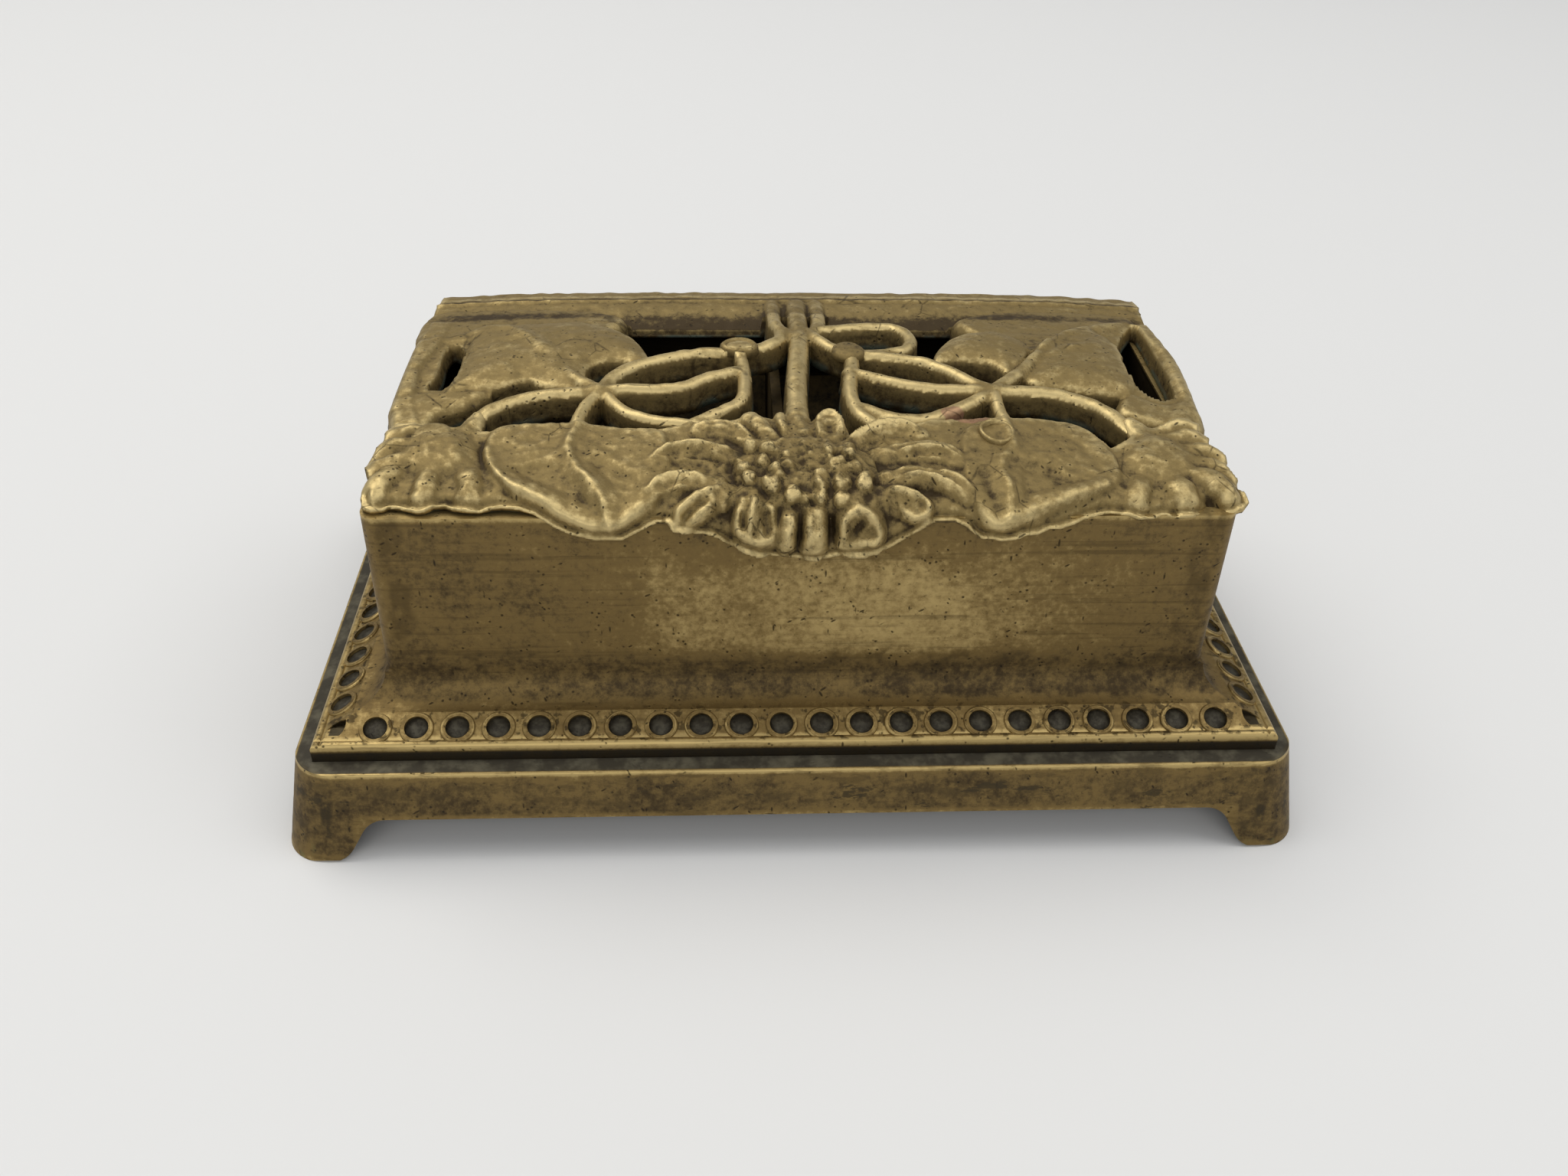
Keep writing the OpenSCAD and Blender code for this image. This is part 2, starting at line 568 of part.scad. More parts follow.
// Where the lid's plugs sit
plug_places = [[-5.3, 18.1], [5.5, 18.9], [-33.2, 34.3], [17.8, 34.4]];

module lid() {
    color(brass) difference() {
        union() {
            lid_ground();
            lid_lattice();
            lid_leaves();
            lid_front();
            // Turned-down rear edge, which stops the lid when it is open
            translate([-lid_half + 0.4, lid_rear_y - flange_t, body_top_z - stop_drop])
                cube([2 * lid_half - 0.8, flange_t, stop_drop + 0.7]);
            for (q = plug_places) knob(q[0], q[1], plug_r + 0.5, 1.2);
        }
        translate([-lid_half - 2, -body_d / 2 - 0.4, body_top_z - 8])
            cube([2 * lid_half + 4, lid_rear_y - flange_t + body_d / 2 + 0.4, 8 + lid_gap]);
        translate([-lid_half - 2, body_d / 2, body_top_z - 8])
            cube([2 * lid_half + 4, lid_rear_reach + 2, 8 - stop_drop]);
        translate([-hinge_l / 2 - 0.4, pin_y - lid_leaf_d - 0.1, body_top_z - 1])
            cube([hinge_l + 0.8, lid_leaf_d + 0.1, leaf_top_z - body_top_z + 1]);
        translate([-hinge_l / 2 - 1, pin_y, pin_z]) rotate([0, 90, 0])
            cylinder(h = hinge_l + 2, r = knuckle_r + 0.3, $fn = 24);
        for (q = plug_places)
            at_lid(q[0], q[1]) translate([0, 0, -0.5]) cylinder(h = 4, r = plug_r + plug_gap, $fn = 16);
    }
}

module lid_plugs() {
    color(rubbed) for (q = plug_places)
        at_lid(q[0], q[1]) translate([0, 0, -0.5]) cylinder(h = 1.5, r = plug_r);
}

// One knuckle of the hinge, counted from the left
module knuckle(i) {
    translate([-hinge_l / 2 + i * (knuckle_l + knuckle_gap), pin_y, pin_z]) rotate([0, 90, 0])
        cylinder(h = knuckle_l, r = knuckle_r);
}

module pin_bore() {
    translate([-hinge_l / 2 - 1, pin_y, pin_z]) rotate([0, 90, 0])
        cylinder(h = hinge_l + 2, r = pin_r + pin_gap);
}

module lid_hinge_leaf() {
    color(dark) difference() {
        union() {
            for (i = [1, 3]) knuckle(i);
            translate([-hinge_l / 2, pin_y - lid_leaf_d, leaf_top_z - hinge_t])
                cube([hinge_l, lid_leaf_d, hinge_t]);
        }
        pin_bore();
        for (i = [0, 2, 4])
            translate([-hinge_l / 2 + i * (knuckle_l + knuckle_gap) - knuckle_gap, pin_y - knuckle_r - 0.3, pin_z])
                cube([knuckle_l + 2 * knuckle_gap, 2 * knuckle_r + 1, knuckle_r + 1]);
    }
}

module body_hinge_leaf() {
    color(dark) difference() {
        union() {
            for (i = [0, 2, 4]) knuckle(i);
            translate([-hinge_l / 2, body_d / 2, pin_z - rear_leaf_h])
                cube([hinge_l, hinge_t, rear_leaf_h]);
        }
        pin_bore();
        for (i = [1, 3])
            translate([-hinge_l / 2 + i * (knuckle_l + knuckle_gap) - knuckle_gap, pin_y - knuckle_r - 1, pin_z - knuckle_r - 0.3])
                cube([knuckle_l + 2 * knuckle_gap, 2 * knuckle_r + 1.6, 2 * knuckle_r + 1]);
    }
}

module hinge_pin() {
    color(rubbed) translate([-hinge_l / 2 - 0.5, pin_y, pin_z]) rotate([0, 90, 0])
        cylinder(h = hinge_l + 1, r = pin_r);
}

module base_screws() {
    color(dark) at_screws(0) {
        translate([0, 0, plate_z - screw_head_h]) difference() {
            cylinder(h = screw_head_h, r = screw_head_r);
            translate([-screw_head_r - 1, -0.2, -1]) cube([2 * screw_head_r + 2, 0.4, 1.5]);
        }
        translate([0, 0, plate_z]) cylinder(h = skirt_floor_z + 0.5 - plate_z, r = screw_r);
    }
}

plinth();
body();
divider();
left_tray();
right_tray();
lid();
lid_plugs();
lid_hinge_leaf();
body_hinge_leaf();
hinge_pin();
base_screws();
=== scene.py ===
import math

import bpy
import numpy as np
from mathutils import Matrix, Vector


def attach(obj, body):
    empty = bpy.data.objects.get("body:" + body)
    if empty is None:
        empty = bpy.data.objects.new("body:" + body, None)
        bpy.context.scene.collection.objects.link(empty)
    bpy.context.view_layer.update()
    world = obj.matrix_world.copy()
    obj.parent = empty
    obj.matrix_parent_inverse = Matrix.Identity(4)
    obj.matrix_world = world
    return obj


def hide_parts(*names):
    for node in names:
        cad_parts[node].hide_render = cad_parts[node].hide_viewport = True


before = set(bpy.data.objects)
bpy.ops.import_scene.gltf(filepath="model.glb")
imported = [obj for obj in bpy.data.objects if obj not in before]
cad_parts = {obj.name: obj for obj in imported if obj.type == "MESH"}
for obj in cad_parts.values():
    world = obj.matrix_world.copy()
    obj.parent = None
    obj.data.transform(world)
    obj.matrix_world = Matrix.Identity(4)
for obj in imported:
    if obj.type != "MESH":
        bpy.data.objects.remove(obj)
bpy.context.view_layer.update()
MM = 0.001

# ---------------------------------------------------------------- The table and the light
# A pale sheet runs from the table up behind the box. Big soft lamps stand over it and to its
# left, and the camera looks down on the box from the front, as in the photograph.
scene = bpy.context.scene
scene.view_settings.view_transform = "Standard"

camera_right = Vector((0.99870, -0.04503, 0.02374))
camera_up = Vector((0.00720, 0.58674, 0.80974))
camera_forward = Vector((0.05039, 0.80852, -0.58631))
camera_place = Vector((-0.007963, -0.120548, 0.096302))
camera = bpy.data.objects.new("camera", bpy.data.cameras.new("camera"))
camera.data.sensor_width = 36
camera.data.lens = 31.69
camera.data.clip_start = 0.005
camera.matrix_world = Matrix.Translation(camera_place) @ Matrix(
    (camera_right, camera_up, -camera_forward)).transposed().to_4x4()
scene.collection.objects.link(camera)
scene.camera = camera

table_mesh = bpy.data.meshes.new("table")
sheet_profile = [(-1.6, 0.0), (0.9, 0.0)]
for step in range(1, 13):
    turn = math.pi / 2 * step / 12
    sheet_profile.append((0.9 + 0.5 * math.sin(turn), 0.5 - 0.5 * math.cos(turn)))
sheet_profile.append((1.4, 2.0))
table_points = [(x, y, z - 0.00003) for y, z in sheet_profile for x in (-2.4, 2.4)]
table_mesh.from_pydata(table_points, [], [(2 * i, 2 * i + 1, 2 * i + 3, 2 * i + 2)
                                          for i in range(len(sheet_profile) - 1)])
for polygon in table_mesh.polygons:
    polygon.use_smooth = True
table = bpy.data.objects.new("table", table_mesh)
scene.collection.objects.link(table)
table_paint = bpy.data.materials.new("pale_table")
table_paint.use_nodes = True
table_shader = table_paint.node_tree.nodes["Principled BSDF"]
table_shader.inputs["Base Color"].default_value = (0.70, 0.695, 0.685, 1)
table_shader.inputs["Roughness"].default_value = 0.75
table_mesh.materials.append(table_paint)

world = bpy.data.worlds.new("room")
scene.world = world
world.use_nodes = True
world.node_tree.nodes["Background"].inputs["Color"].default_value = (0.93, 0.96, 1.0, 1)
world.node_tree.nodes["Background"].inputs["Strength"].default_value = 0.52


def soft_lamp(name, place, aim, size, watts, colour):
    lamp = bpy.data.lights.new(name, "AREA")
    lamp.shape = "RECTANGLE"
    lamp.size, lamp.size_y = size
    lamp.energy = watts
    lamp.color = colour
    holder = bpy.data.objects.new(name, lamp)
    holder.location = place
    holder.rotation_euler = (Vector(aim) - Vector(place)).to_track_quat("-Z", "Y").to_euler()
    scene.collection.objects.link(holder)


soft_lamp("window", (-0.35, 0.25, 0.75), (0, 0, 0.02), (0.7, 0.5), 3.6, (1.0, 0.98, 0.94))
soft_lamp("ceiling", (0.45, 0.0, 0.8), (0, 0, 0.02), (0.6, 0.6), 2.2, (1.0, 0.99, 0.97))
soft_lamp("front", (-0.1, -0.75, 0.55), (0, 0, 0.02), (0.8, 0.4), 1.9, (1.0, 0.99, 0.96))

# ---------------------------------------------------------------- The plinth
# An open-bottomed brass casting on four bracket feet, filed flat on its faces and dark grey on its
# ledge. Handling has rubbed its top arris and the edges of its feet bright, and a painted highlight adds
# to the top arris and the apron's lower edge.


class Patina:
    """One socket of a material. Sums and products of such sockets add its Math nodes."""

    def __init__(self, tree, socket=None):
        self.tree, self.socket = tree, socket

    def node(self, kind, settings=None, values=None, out=0):
        made = self.tree.nodes.new(kind)
        for name, value in (settings or {}).items():
            setattr(made, name, value)
        for name, value in (values or {}).items():
            if isinstance(value, Patina):
                self.tree.links.new(value.socket, made.inputs[name])
            else:
                made.inputs[name].default_value = value
        return Patina(self.tree, made.outputs[out])

    def sum(self, operation, *terms, clamp=False):
        return self.node("ShaderNodeMath", {"operation": operation, "use_clamp": clamp}, dict(enumerate(terms)))

    def __add__(self, other):
        return self.sum("ADD", self, other)

    def __radd__(self, other):
        return self.sum("ADD", other, self)

    def __sub__(self, other):
        return self.sum("SUBTRACT", self, other)

    def __rsub__(self, other):
        return self.sum("SUBTRACT", other, self)

    def __mul__(self, other):
        return self.sum("MULTIPLY", self, other)

    def __rmul__(self, other):
        return self.sum("MULTIPLY", other, self)

    def __pow__(self, other):
        return self.sum("POWER", self, other)

    def most(self, other):
        return self.sum("MAXIMUM", self, other)

    def least(self, other):
        return self.sum("MINIMUM", self, other)

    def size(self):
        return self.sum("ABSOLUTE", self)

    def held(self):
        return self.sum("ADD", self, 0.0, clamp=True)

    def step(self, low, high):
        """0 below low, 1 above high and smooth between them; falls where low is above high."""
        return self.node("ShaderNodeMapRange", {"interpolation_type": "SMOOTHSTEP"},
                         {"Value": self, "From Min": low, "From Max": high, "To Min": 0.0, "To Max": 1.0})

    def tint(self, under, over):
        """The colour under where this mask is 0, the colour over where it is 1."""
        made = self.tree.nodes.new("ShaderNodeMix")
        made.data_type = "RGBA"
        self.tree.links.new(self.socket, made.inputs[0])
        for socket, value in ((made.inputs[6], under), (made.inputs[7], over)):
            if isinstance(value, Patina):
                self.tree.links.new(value.socket, socket)
            else:
                socket.default_value = (*value, 1)
        return Patina(self.tree, made.outputs[2])


def brown(red, green, blue):
    """A colour as a painter mixes it, 0 to 255, in the linear values that a shader takes."""
    return tuple((c / 255 / 12.92 if c <= 10 else ((c / 255 + 0.055) / 1.055) ** 2.4)
                 for c in (red, green, blue))


def aged_brass(name, wear_and_light, rough=0.0, brushed=False, dark=brown(62, 49, 28), mid=brown(122, 101, 61),
               bright=brown(178, 155, 103), smooth=0.4, cast=0.00009, extra=None):
    """Brass whose dirt, shine and painted light follow wear_and_light(p, x, y, z), from 0 for dirt and painted
    shade to 1 for a rubbed edge and painted highlights.
    """
    material = bpy.data.materials.new(name)
    material.use_nodes = True
    tree = material.node_tree
    shader = tree.nodes["Principled BSDF"]
    shader.inputs["Specular IOR Level"].default_value = 0.25
    p = Patina(tree).node("ShaderNodeTexCoord", out=3)
    parts = tree.nodes.new("ShaderNodeSeparateXYZ")
    tree.links.new(p.socket, parts.inputs[0])
    x, y, z = (Patina(tree, parts.outputs[i]) * 1000 for i in range(3))

    def noise(scale, detail=3.0, stretch=None, roughness=0.6):
        place = p
        if stretch:
            place = p.node("ShaderNodeMapping", None, {"Vector": p, "Scale": stretch})
        return p.node("ShaderNodeTexNoise", None, {"Vector": place, "Scale": scale, "Detail": detail,
                                                   "Roughness": roughness})

    clouds = noise(110, 4.0)
    blotch = noise(420, 5.0, roughness=0.68)
    grain = noise(2300, 2.0)
    fine = noise(1250, 4.0, roughness=0.72)
    wear_and_painted_light = (wear_and_light(p, x, y, z) + (clouds - 0.5) * 0.55 + (blotch - 0.5) * 0.5 + (fine - 0.5) * 0.85).held()
    colour = wear_and_painted_light.step(0.08, 0.5).tint(dark, mid)
    colour = wear_and_painted_light.step(0.5, 1.0).tint(colour, bright)

    def nicks(turn, kept):
        """Short straight dashes that lie one way, kept where a noise is high."""
        place = p.node("ShaderNodeMapping", {"vector_type": "TEXTURE"},
                       {"Vector": p, "Rotation": turn, "Scale": (4.5, 1.0, 1.0)})
        cells = p.node("ShaderNodeTexVoronoi", {"feature": "F1"}, {"Vector": place, "Scale": 1250.0})
        return cells.step(0.15, 0.08) * noise(kept, 2.0).step(0.52, 0.58)

    nick = nicks((0.4, -0.5, 0.3), 430).most(nicks((0.2, 0.7, -0.9), 510)).most(nicks((0.9, 1.5, 1.2), 470))
    pits = p.node("ShaderNodeTexVoronoi", {"feature": "F1"}, {"Vector": p, "Scale": 1500.0})
    pit = (pits.step(0.26, 0.1) * noise(520, 2.0).step(0.5, 0.62)).most(nick)
    colour = (pit * 0.8).tint(colour, brown(32, 25, 14))
    height = grain * 0.3 - pit * 0.7 + blotch * 0.5
    if rough:
        if not isinstance(rough, float):
            rough = rough(p)
        crust = noise(1300, 4.0, roughness=0.7)
        height = height + crust * rough * 2.6
        colour = (crust.step(0.5, 0.34) * rough * 0.8).tint(colour, brown(42, 34, 21))
    if brushed:
        lines = noise(900, 3.0, (0.06, 0.6, 1.6))
        height = height + lines * 0.7
        colour = (lines.step(0.46, 0.3) * 0.4).tint(colour, brown(70, 56, 33))
    if extra:
        colour = extra(p, x, y, z, colour, noise)
    tree.links.new(colour.socket, shader.inputs["Base Color"])
    metallic = 0.45 + wear_and_painted_light.step(0.1, 0.75) * 0.45
    tree.links.new(metallic.socket, shader.inputs["Metallic"])
    roughness = (smooth + 0.2) - wear_and_painted_light.step(0.3, 1.0) * 0.16 + (grain - 0.5) * 0.1
    tree.links.new(roughness.socket, shader.inputs["Roughness"])
    bump = p.node("ShaderNodeBump", None, {"Height": height, "Strength": 0.5, "Distance": cast})
    tree.links.new(bump.socket, shader.inputs["Normal"])
    return material


def dress(node, material):
    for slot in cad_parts[node].material_slots:
        slot.material = material


TABLE_X, TABLE_Y, CORNER_R = 48.0, 30.45, 4.0  # half sizes at the table, mm
LEAN_X, LEAN_Y = 0.1667, 0.2222                # how far a face leans in for each mm up


def plinth_face(x, y, z):
    """1 on the leaning faces, 0 on the ledge, the underside and inside."""
    out_x = (x.size() - (TABLE_X - CORNER_R - z * LEAN_X)).most(0.0)
    out_y = (y.size() - (TABLE_Y - CORNER_R - z * LEAN_Y)).most(0.0)
    return ((out_x * out_x + out_y * out_y) ** 0.5 - CORNER_R).step(-0.5, -0.12)


def plinth_wear_and_highlight(p, x, y, z):
    face = plinth_face(x, y, z)
    # The top arris and the apron's lower edge are rubbed bright and also carry a painted highlight
    arris = z.step(8.45, 8.85) * z.step(9.06, 8.99)
    lower = z.step(5.0, 4.45) * (x.size().step(41.5, 40.5)).least(1.0) * 0.3
    foot = z.step(1.0, 0.1) * 0.3
    return 0.04 + face * 0.27 + arris * face * 0.6 + z.step(7.0, 8.6) * face * 0.1 + (lower + foot) * face


def plinth_stain(p, x, y, z, colour, noise):
    face = plinth_face(x, y, z)
    # The ledge is coloured dark grey with lighter mottling
    ledge = noise(500, 3.0).step(0.4, 0.7).tint(brown(60, 56, 46), brown(96, 91, 75))
    colour = (z.step(8.99, 9.02) * 0.9).tint(colour, ledge)
    lines = noise(650, 4.0, (0.35, 0.6, 1.5), 0.7)
    colour = (lines.step(0.5, 0.36) * face * 0.5).tint(colour, brown(80, 66, 40))
    flaked = noise(330, 5.0, (0.5, 0.7, 1.5), 0.72).step(0.605, 0.64) * z.step(8.2, 7.2) * face
    colour = (flaked * 0.75).tint(colour, brown(58, 50, 34))
    # The outline scratched round each foot before it was filed
    wander = (noise(330, 3.0) - 0.5) * 1.6
    line = (x.size() - 43.4 + wander).size().step(0.62, 0.2) * z.step(2.2, 3.0) * z.step(7.6, 7.0)
    colour = (line * noise(600, 3.0).step(0.42, 0.56) * face * 0.8).tint(colour, brown(50, 43, 30))
    green = z.step(2.6, 0.8) * x.size().step(40.0, 43.0) * noise(520, 3.0).step(0.55, 0.68) * 0.4
    return green.tint(colour, brown(104, 112, 70))


dress("plinth", aged_brass("plinth_brass_aged_painted_highlight", plinth_wear_and_highlight, extra=plinth_stain))

# ---------------------------------------------------------------- The body
# A cast box with straight walls, filed and brushed along its length. A hollow moulding runs round
# its foot to a sloped border of sunk beads, where the dirt of years has stayed in the beads. Painted
# shade darkens the hollow moulding, the groove below the border's rim and the inside of the box, and a
# painted reflection of the table brightens the middle of its front and rear walls.

SKIRT_X, SKIRT_Y, RIM_Z = 44.45, 26.75, 10.55  # half sizes of the skirt and the height of its rim, mm
RIM_RISE = 0.445                               # how much the border rises for each mm inward
BEAD_IN, SLOPE = 1.9, math.radians(24)         # the bead row's distance from the rim, its border's slope
RING_R, RING_TUBE, DISC_R = 1.36, 0.22, 1.2    # the raised ring and the dark disc of a bead, mm


def body_wear_and_painted_light(p, x, y, z):
    # The walls grow lighter from 14.6 to 17.5 mm up, which leaves painted shade on the hollow moulding below
    # them
    wall = z.step(14.6, 17.5)
    top = z.step(30.7, 31.35) * 0.5
    # A painted reflection of the pale table: a brighter patch in the middle of the front and rear walls
    table_reflection = (x - 4.0).size().step(33.0, 4.0) * (z - 21.0).size().step(11.0, 2.0) * 0.42
    rim = z.step(11.15, 10.85) * z.step(10.1, 10.5) * 0.65
    band = z.step(10.7, 10.9) * z.step(12.6, 11.9) * 0.34
    return 0.27 + wall * 0.13 + top + table_reflection * wall + rim + band


def body_stain_and_shade(p, x, y, z, colour, noise):
    # Painted shade below the rim and inside the box, a blotchy dark band at the foot of the walls, and dark
    # handled corners
    under = z.step(10.45, 10.05)
    inside = (x.size() - 37.4).most(y.size() - 19.8).step(0.2, -0.2) * z.step(31.3, 31.1)
    colour = (under.most(inside) * 0.9).tint(colour, brown(30, 26, 18))
    foot = (z - 15.2 + (noise(260, 4.0) - 0.5) * 7.0).size().step(1.2, 0.2)
    colour = (foot * noise(240, 4.0).step(0.46, 0.6) * 0.5).tint(colour, brown(60, 48, 28))
    speck = noise(1500, 3.0, roughness=0.7).step(0.6, 0.7) * z.step(12.2, 13.0)
    colour = (speck * 0.4).tint(colour, brown(66, 50, 28))
    corner = (x.size() - 35.6 + (noise(160, 3.0) - 0.5) * 3.0).size().step(1.5, 0.6) * z.step(14.5, 18.0)
    colour = (corner * noise(420, 4.0).step(0.42, 0.6) * 0.5).tint(colour, brown(58, 46, 28))
    # The leaf-shaped recess at each corner lies below the sloped border
    inward = (SKIRT_X - x.size()).least(SKIRT_Y - y.size())
    below = (inward * RIM_RISE + RIM_Z - z).step(0.1, 0.16) * z.step(10.2, 10.3)
    recess = below * inward.step(0.8, 0.9) * x.size().step(40.4, 40.6) * y.size().step(22.7, 22.9)
    colour = (recess * 0.9).tint(colour, brown(48, 45, 38))
    dart = z.step(10.9, 11.05) * z.step(12.2, 12.0) * noise(900, 3.0).step(0.54, 0.62)
    return (dart * 0.75).tint(colour, brown(52, 42, 26))


dress("body", aged_brass("body_brass_aged_painted_light", body_wear_and_painted_light, brushed=True, extra=body_stain_and_shade))

bead_x, bead_y, bead_z = SKIRT_X - BEAD_IN, SKIRT_Y - BEAD_IN, RIM_Z + BEAD_IN * math.tan(SLOPE)


def bead_wear(p, x, y, z):
    return p.node("ShaderNodeAttribute", {"attribute_name": "ring"}, out=2) * 0.72 + 0.02


def bead_stain(p, x, y, z, colour, noise):
    ring = p.node("ShaderNodeAttribute", {"attribute_name": "ring"}, out=2)
    dirt = noise(1600, 4.0).step(0.35, 0.7).tint(brown(50, 46, 38), brown(78, 74, 62))
    return (ring.step(0.6, 0.4) * 0.96).tint(colour, dirt)


bead_brass = aged_brass("bead_brass_aged", bead_wear, extra=bead_stain)

rows = bpy.data.node_groups.new("bead_row", "GeometryNodeTree")
for name, kind in (("Count", "NodeSocketInt"), ("Pitch", "NodeSocketFloat"), ("Seed", "NodeSocketInt"),
                   ("Brass", "NodeSocketMaterial")):
    rows.interface.new_socket(name, in_out="INPUT", socket_type=kind)
rows.interface.new_socket("Beads", in_out="OUTPUT", socket_type="NodeSocketGeometry")
row_in, row_out = rows.nodes.new("NodeGroupInput"), rows.nodes.new("NodeGroupOutput")


def row_node(kind, settings=None, **values):
    made = rows.nodes.new(kind)
    for name, value in (settings or {}).items():
        setattr(made, name, value)
    for name, value in values.items():
        socket = made.inputs[name.replace("_", " ")]
        if isinstance(value, bpy.types.NodeSocket):
            rows.links.new(value, socket)
        else:
            socket.default_value = value
    return made


def marked(mesh, ring):
    made = row_node("GeometryNodeStoreNamedAttribute", {"data_type": "FLOAT", "domain": "POINT"},
                    Geometry=mesh, Name="ring")
    [i for i in made.inputs if i.name == "Value" and i.enabled][0].default_value = ring
    return made.outputs[0]


offset = row_node("ShaderNodeCombineXYZ", X=row_in.outputs["Pitch"])
line = row_node("GeometryNodeMeshLine", Count=row_in.outputs["Count"], Offset=offset.outputs[0])
loop = row_node("GeometryNodeCurvePrimitiveCircle", Resolution=28, Radius=RING_R * MM)
tube = row_node("GeometryNodeCurvePrimitiveCircle", Resolution=8, Radius=RING_TUBE * MM)
torus = row_node("GeometryNodeCurveToMesh", Curve=loop.outputs[0], Profile_Curve=tube.outputs[0])
flat = row_node("GeometryNodeMeshCylinder", {"fill_type": "TRIANGLE_FAN"}, Vertices=28, Radius=DISC_R * MM,
                Depth=0.22 * MM)
sunk = row_node("GeometryNodeTransform", Geometry=flat.outputs[0], Translation=(0, 0, -0.2 * MM))
bead = row_node("GeometryNodeJoinGeometry")
rows.links.new(marked(torus.outputs[0], 1.0), bead.inputs[0])
rows.links.new(marked(sunk.outputs[0], 0.0), bead.inputs[0])
spin = row_node("FunctionNodeRandomValue", {"data_type": "FLOAT_VECTOR"}, Seed=row_in.outputs["Seed"])
spin.inputs[0].default_value, spin.inputs[1].default_value = (-0.03, -0.03, -3), (0.03, 0.03, 3)
grow = row_node("FunctionNodeRandomValue", {"data_type": "FLOAT_VECTOR"})
grow.inputs[0].default_value, grow.inputs[1].default_value = (0.94, 0.94, 0.85), (1.04, 1.04, 1.1)
on_row = row_node("GeometryNodeInstanceOnPoints", Points=line.outputs[0], Instance=bead.outputs[0],
                  Rotation=spin.outputs[0], Scale=grow.outputs[0])
real = row_node("GeometryNodeRealizeInstances", Geometry=on_row.outputs[0])
smooth = row_node("GeometryNodeSetShadeSmooth", Geometry=real.outputs[0])
painted = row_node("GeometryNodeSetMaterial", Geometry=smooth.outputs[0], Material=row_in.outputs["Brass"])
rows.links.new(painted.outputs[0], row_out.inputs[0])

for name, count, half, turn, seed in (("beads_front", 22, (bead_x, bead_y), 0, 3),
                                      ("beads_right", 13, (bead_y, bead_x), 90, 5),
                                      ("beads_rear", 22, (bead_x, bead_y), 180, 7),
                                      ("beads_left", 13, (bead_y, bead_x), 270, 9)):
    pitch = 2 * half[0] / (count + 1)
    seed_object = bpy.data.objects.new(name, bpy.data.meshes.new(name))
    scene.collection.objects.link(seed_object)
    modifier = seed_object.modifiers.new("row", "NODES")
    modifier.node_group = rows
    for item in rows.interface.items_tree:
        if item.in_out == "INPUT":
            modifier[item.identifier] = {"Count": count, "Pitch": pitch * MM, "Seed": seed,
                                         "Brass": bead_brass}[item.name]
    bpy.context.view_layer.update()
    grown = bpy.data.meshes.new_from_object(seed_object.evaluated_get(bpy.context.evaluated_depsgraph_get()))
    seed_object.modifiers.clear()
    grown.transform(Matrix.Rotation(math.radians(turn), 4, "Z")
                    @ Matrix.Translation(((-half[0] + pitch) * MM, -half[1] * MM, bead_z * MM))
                    @ Matrix.Rotation(SLOPE, 4, "X"))
    seed_object.data = grown
    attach(seed_object, "box")

# ---------------------------------------------------------------- The divider and the trays
# Thin brass sheet, never polished: an upright divider sprung between front and rear walls, and
# two sheets rolled to a scoop.


def dull_wear(p, x, y, z):
    return z.step(12.0, 32.0) * 0.3 + 0.12


dull_brass = aged_brass("inner_brass_dull", dull_wear, dark=brown(34, 28, 18), mid=brown(84, 70, 44),
                        bright=brown(120, 102, 66), smooth=0.42)
for node in ("divider", "left_tray", "right_tray"):
    dress(node, dull_brass)

# ---------------------------------------------------------------- The hinge and the base screws
# Two folded brass leaves on a drawn pin along the rear edge, and four slotted screws that hold
# the body down on the plinth from below.


def hinge_wear(p, x, y, z):
    return z.step(25.0, 32.4) * 0.35 + 0.15


hinge_brass = aged_brass("hinge_brass_dull", hinge_wear, dark=brown(40, 33, 20), mid=brown(98, 82, 50),
                         bright=brown(150, 130, 86))
for node in ("lid_hinge_leaf", "body_hinge_leaf", "hinge_pin"):
    dress(node, hinge_brass)
dress("base_screws", aged_brass("screw_brass_dull", lambda p, x, y, z: z.step(7.0, 6.0) * 0.4 + 0.1))

# ---------------------------------------------------------------- The lid
# One openwork casting: rounded stems cross over deep gaps between leaves, and a sunflower and two
# corner flowers roll down over the front wall. It turns on the hinge behind it.
REAR_Y, CROWN_Y, CROWN_Z, CROWN_R = 23.5, 2.0, 34.6, 115.0
TURN_Y, TURN_R, HALF, FALL = -18.0, 4.8, 38.6, 0.8
PATTERN_START = 0.5
rear_turn = math.asin((REAR_Y - CROWN_Y) / CROWN_R)
front_turn = math.asin((CROWN_Y - TURN_Y) / CROWN_R)
turn_s = (rear_turn + front_turn) * CROWN_R
drop_s = turn_s + TURN_R * (math.pi / 2 - front_turn)
turn_centre_y = TURN_Y + TURN_R * math.sin(front_turn)
turn_centre_z = CROWN_Z - CROWN_R * (1 - math.cos(front_turn)) - TURN_R * math.cos(front_turn)


def dome(x, s):
    """Where the lid's plain dome is: y, z and the lean of its surface. s runs from rear to front."""
    q = s + PATTERN_START
    lean = np.where(q < turn_s, q / CROWN_R - rear_turn,
                    np.minimum(front_turn + (q - turn_s) / TURN_R, math.pi / 2))
    y = np.where(q < turn_s, CROWN_Y - CROWN_R * np.sin(lean), turn_centre_y - TURN_R * np.sin(lean))
    z = np.where(q < turn_s, CROWN_Z - CROWN_R * (1 - np.cos(lean)), turn_centre_z + TURN_R * np.cos(lean))
    z = z - np.maximum(q - drop_s, 0) - FALL * (np.abs(x) / HALF) ** 4
    return y, z, lean


def on_lid(x, s, h):
    y, z, lean = dome(x, s)
    return np.stack([x, y - h * np.sin(lean), z + h * np.cos(lean)], -1)


CLEAR_Z, CLEAR_Y = 31.47, -21.12  # just above the walls' top and just before the front wall, mm


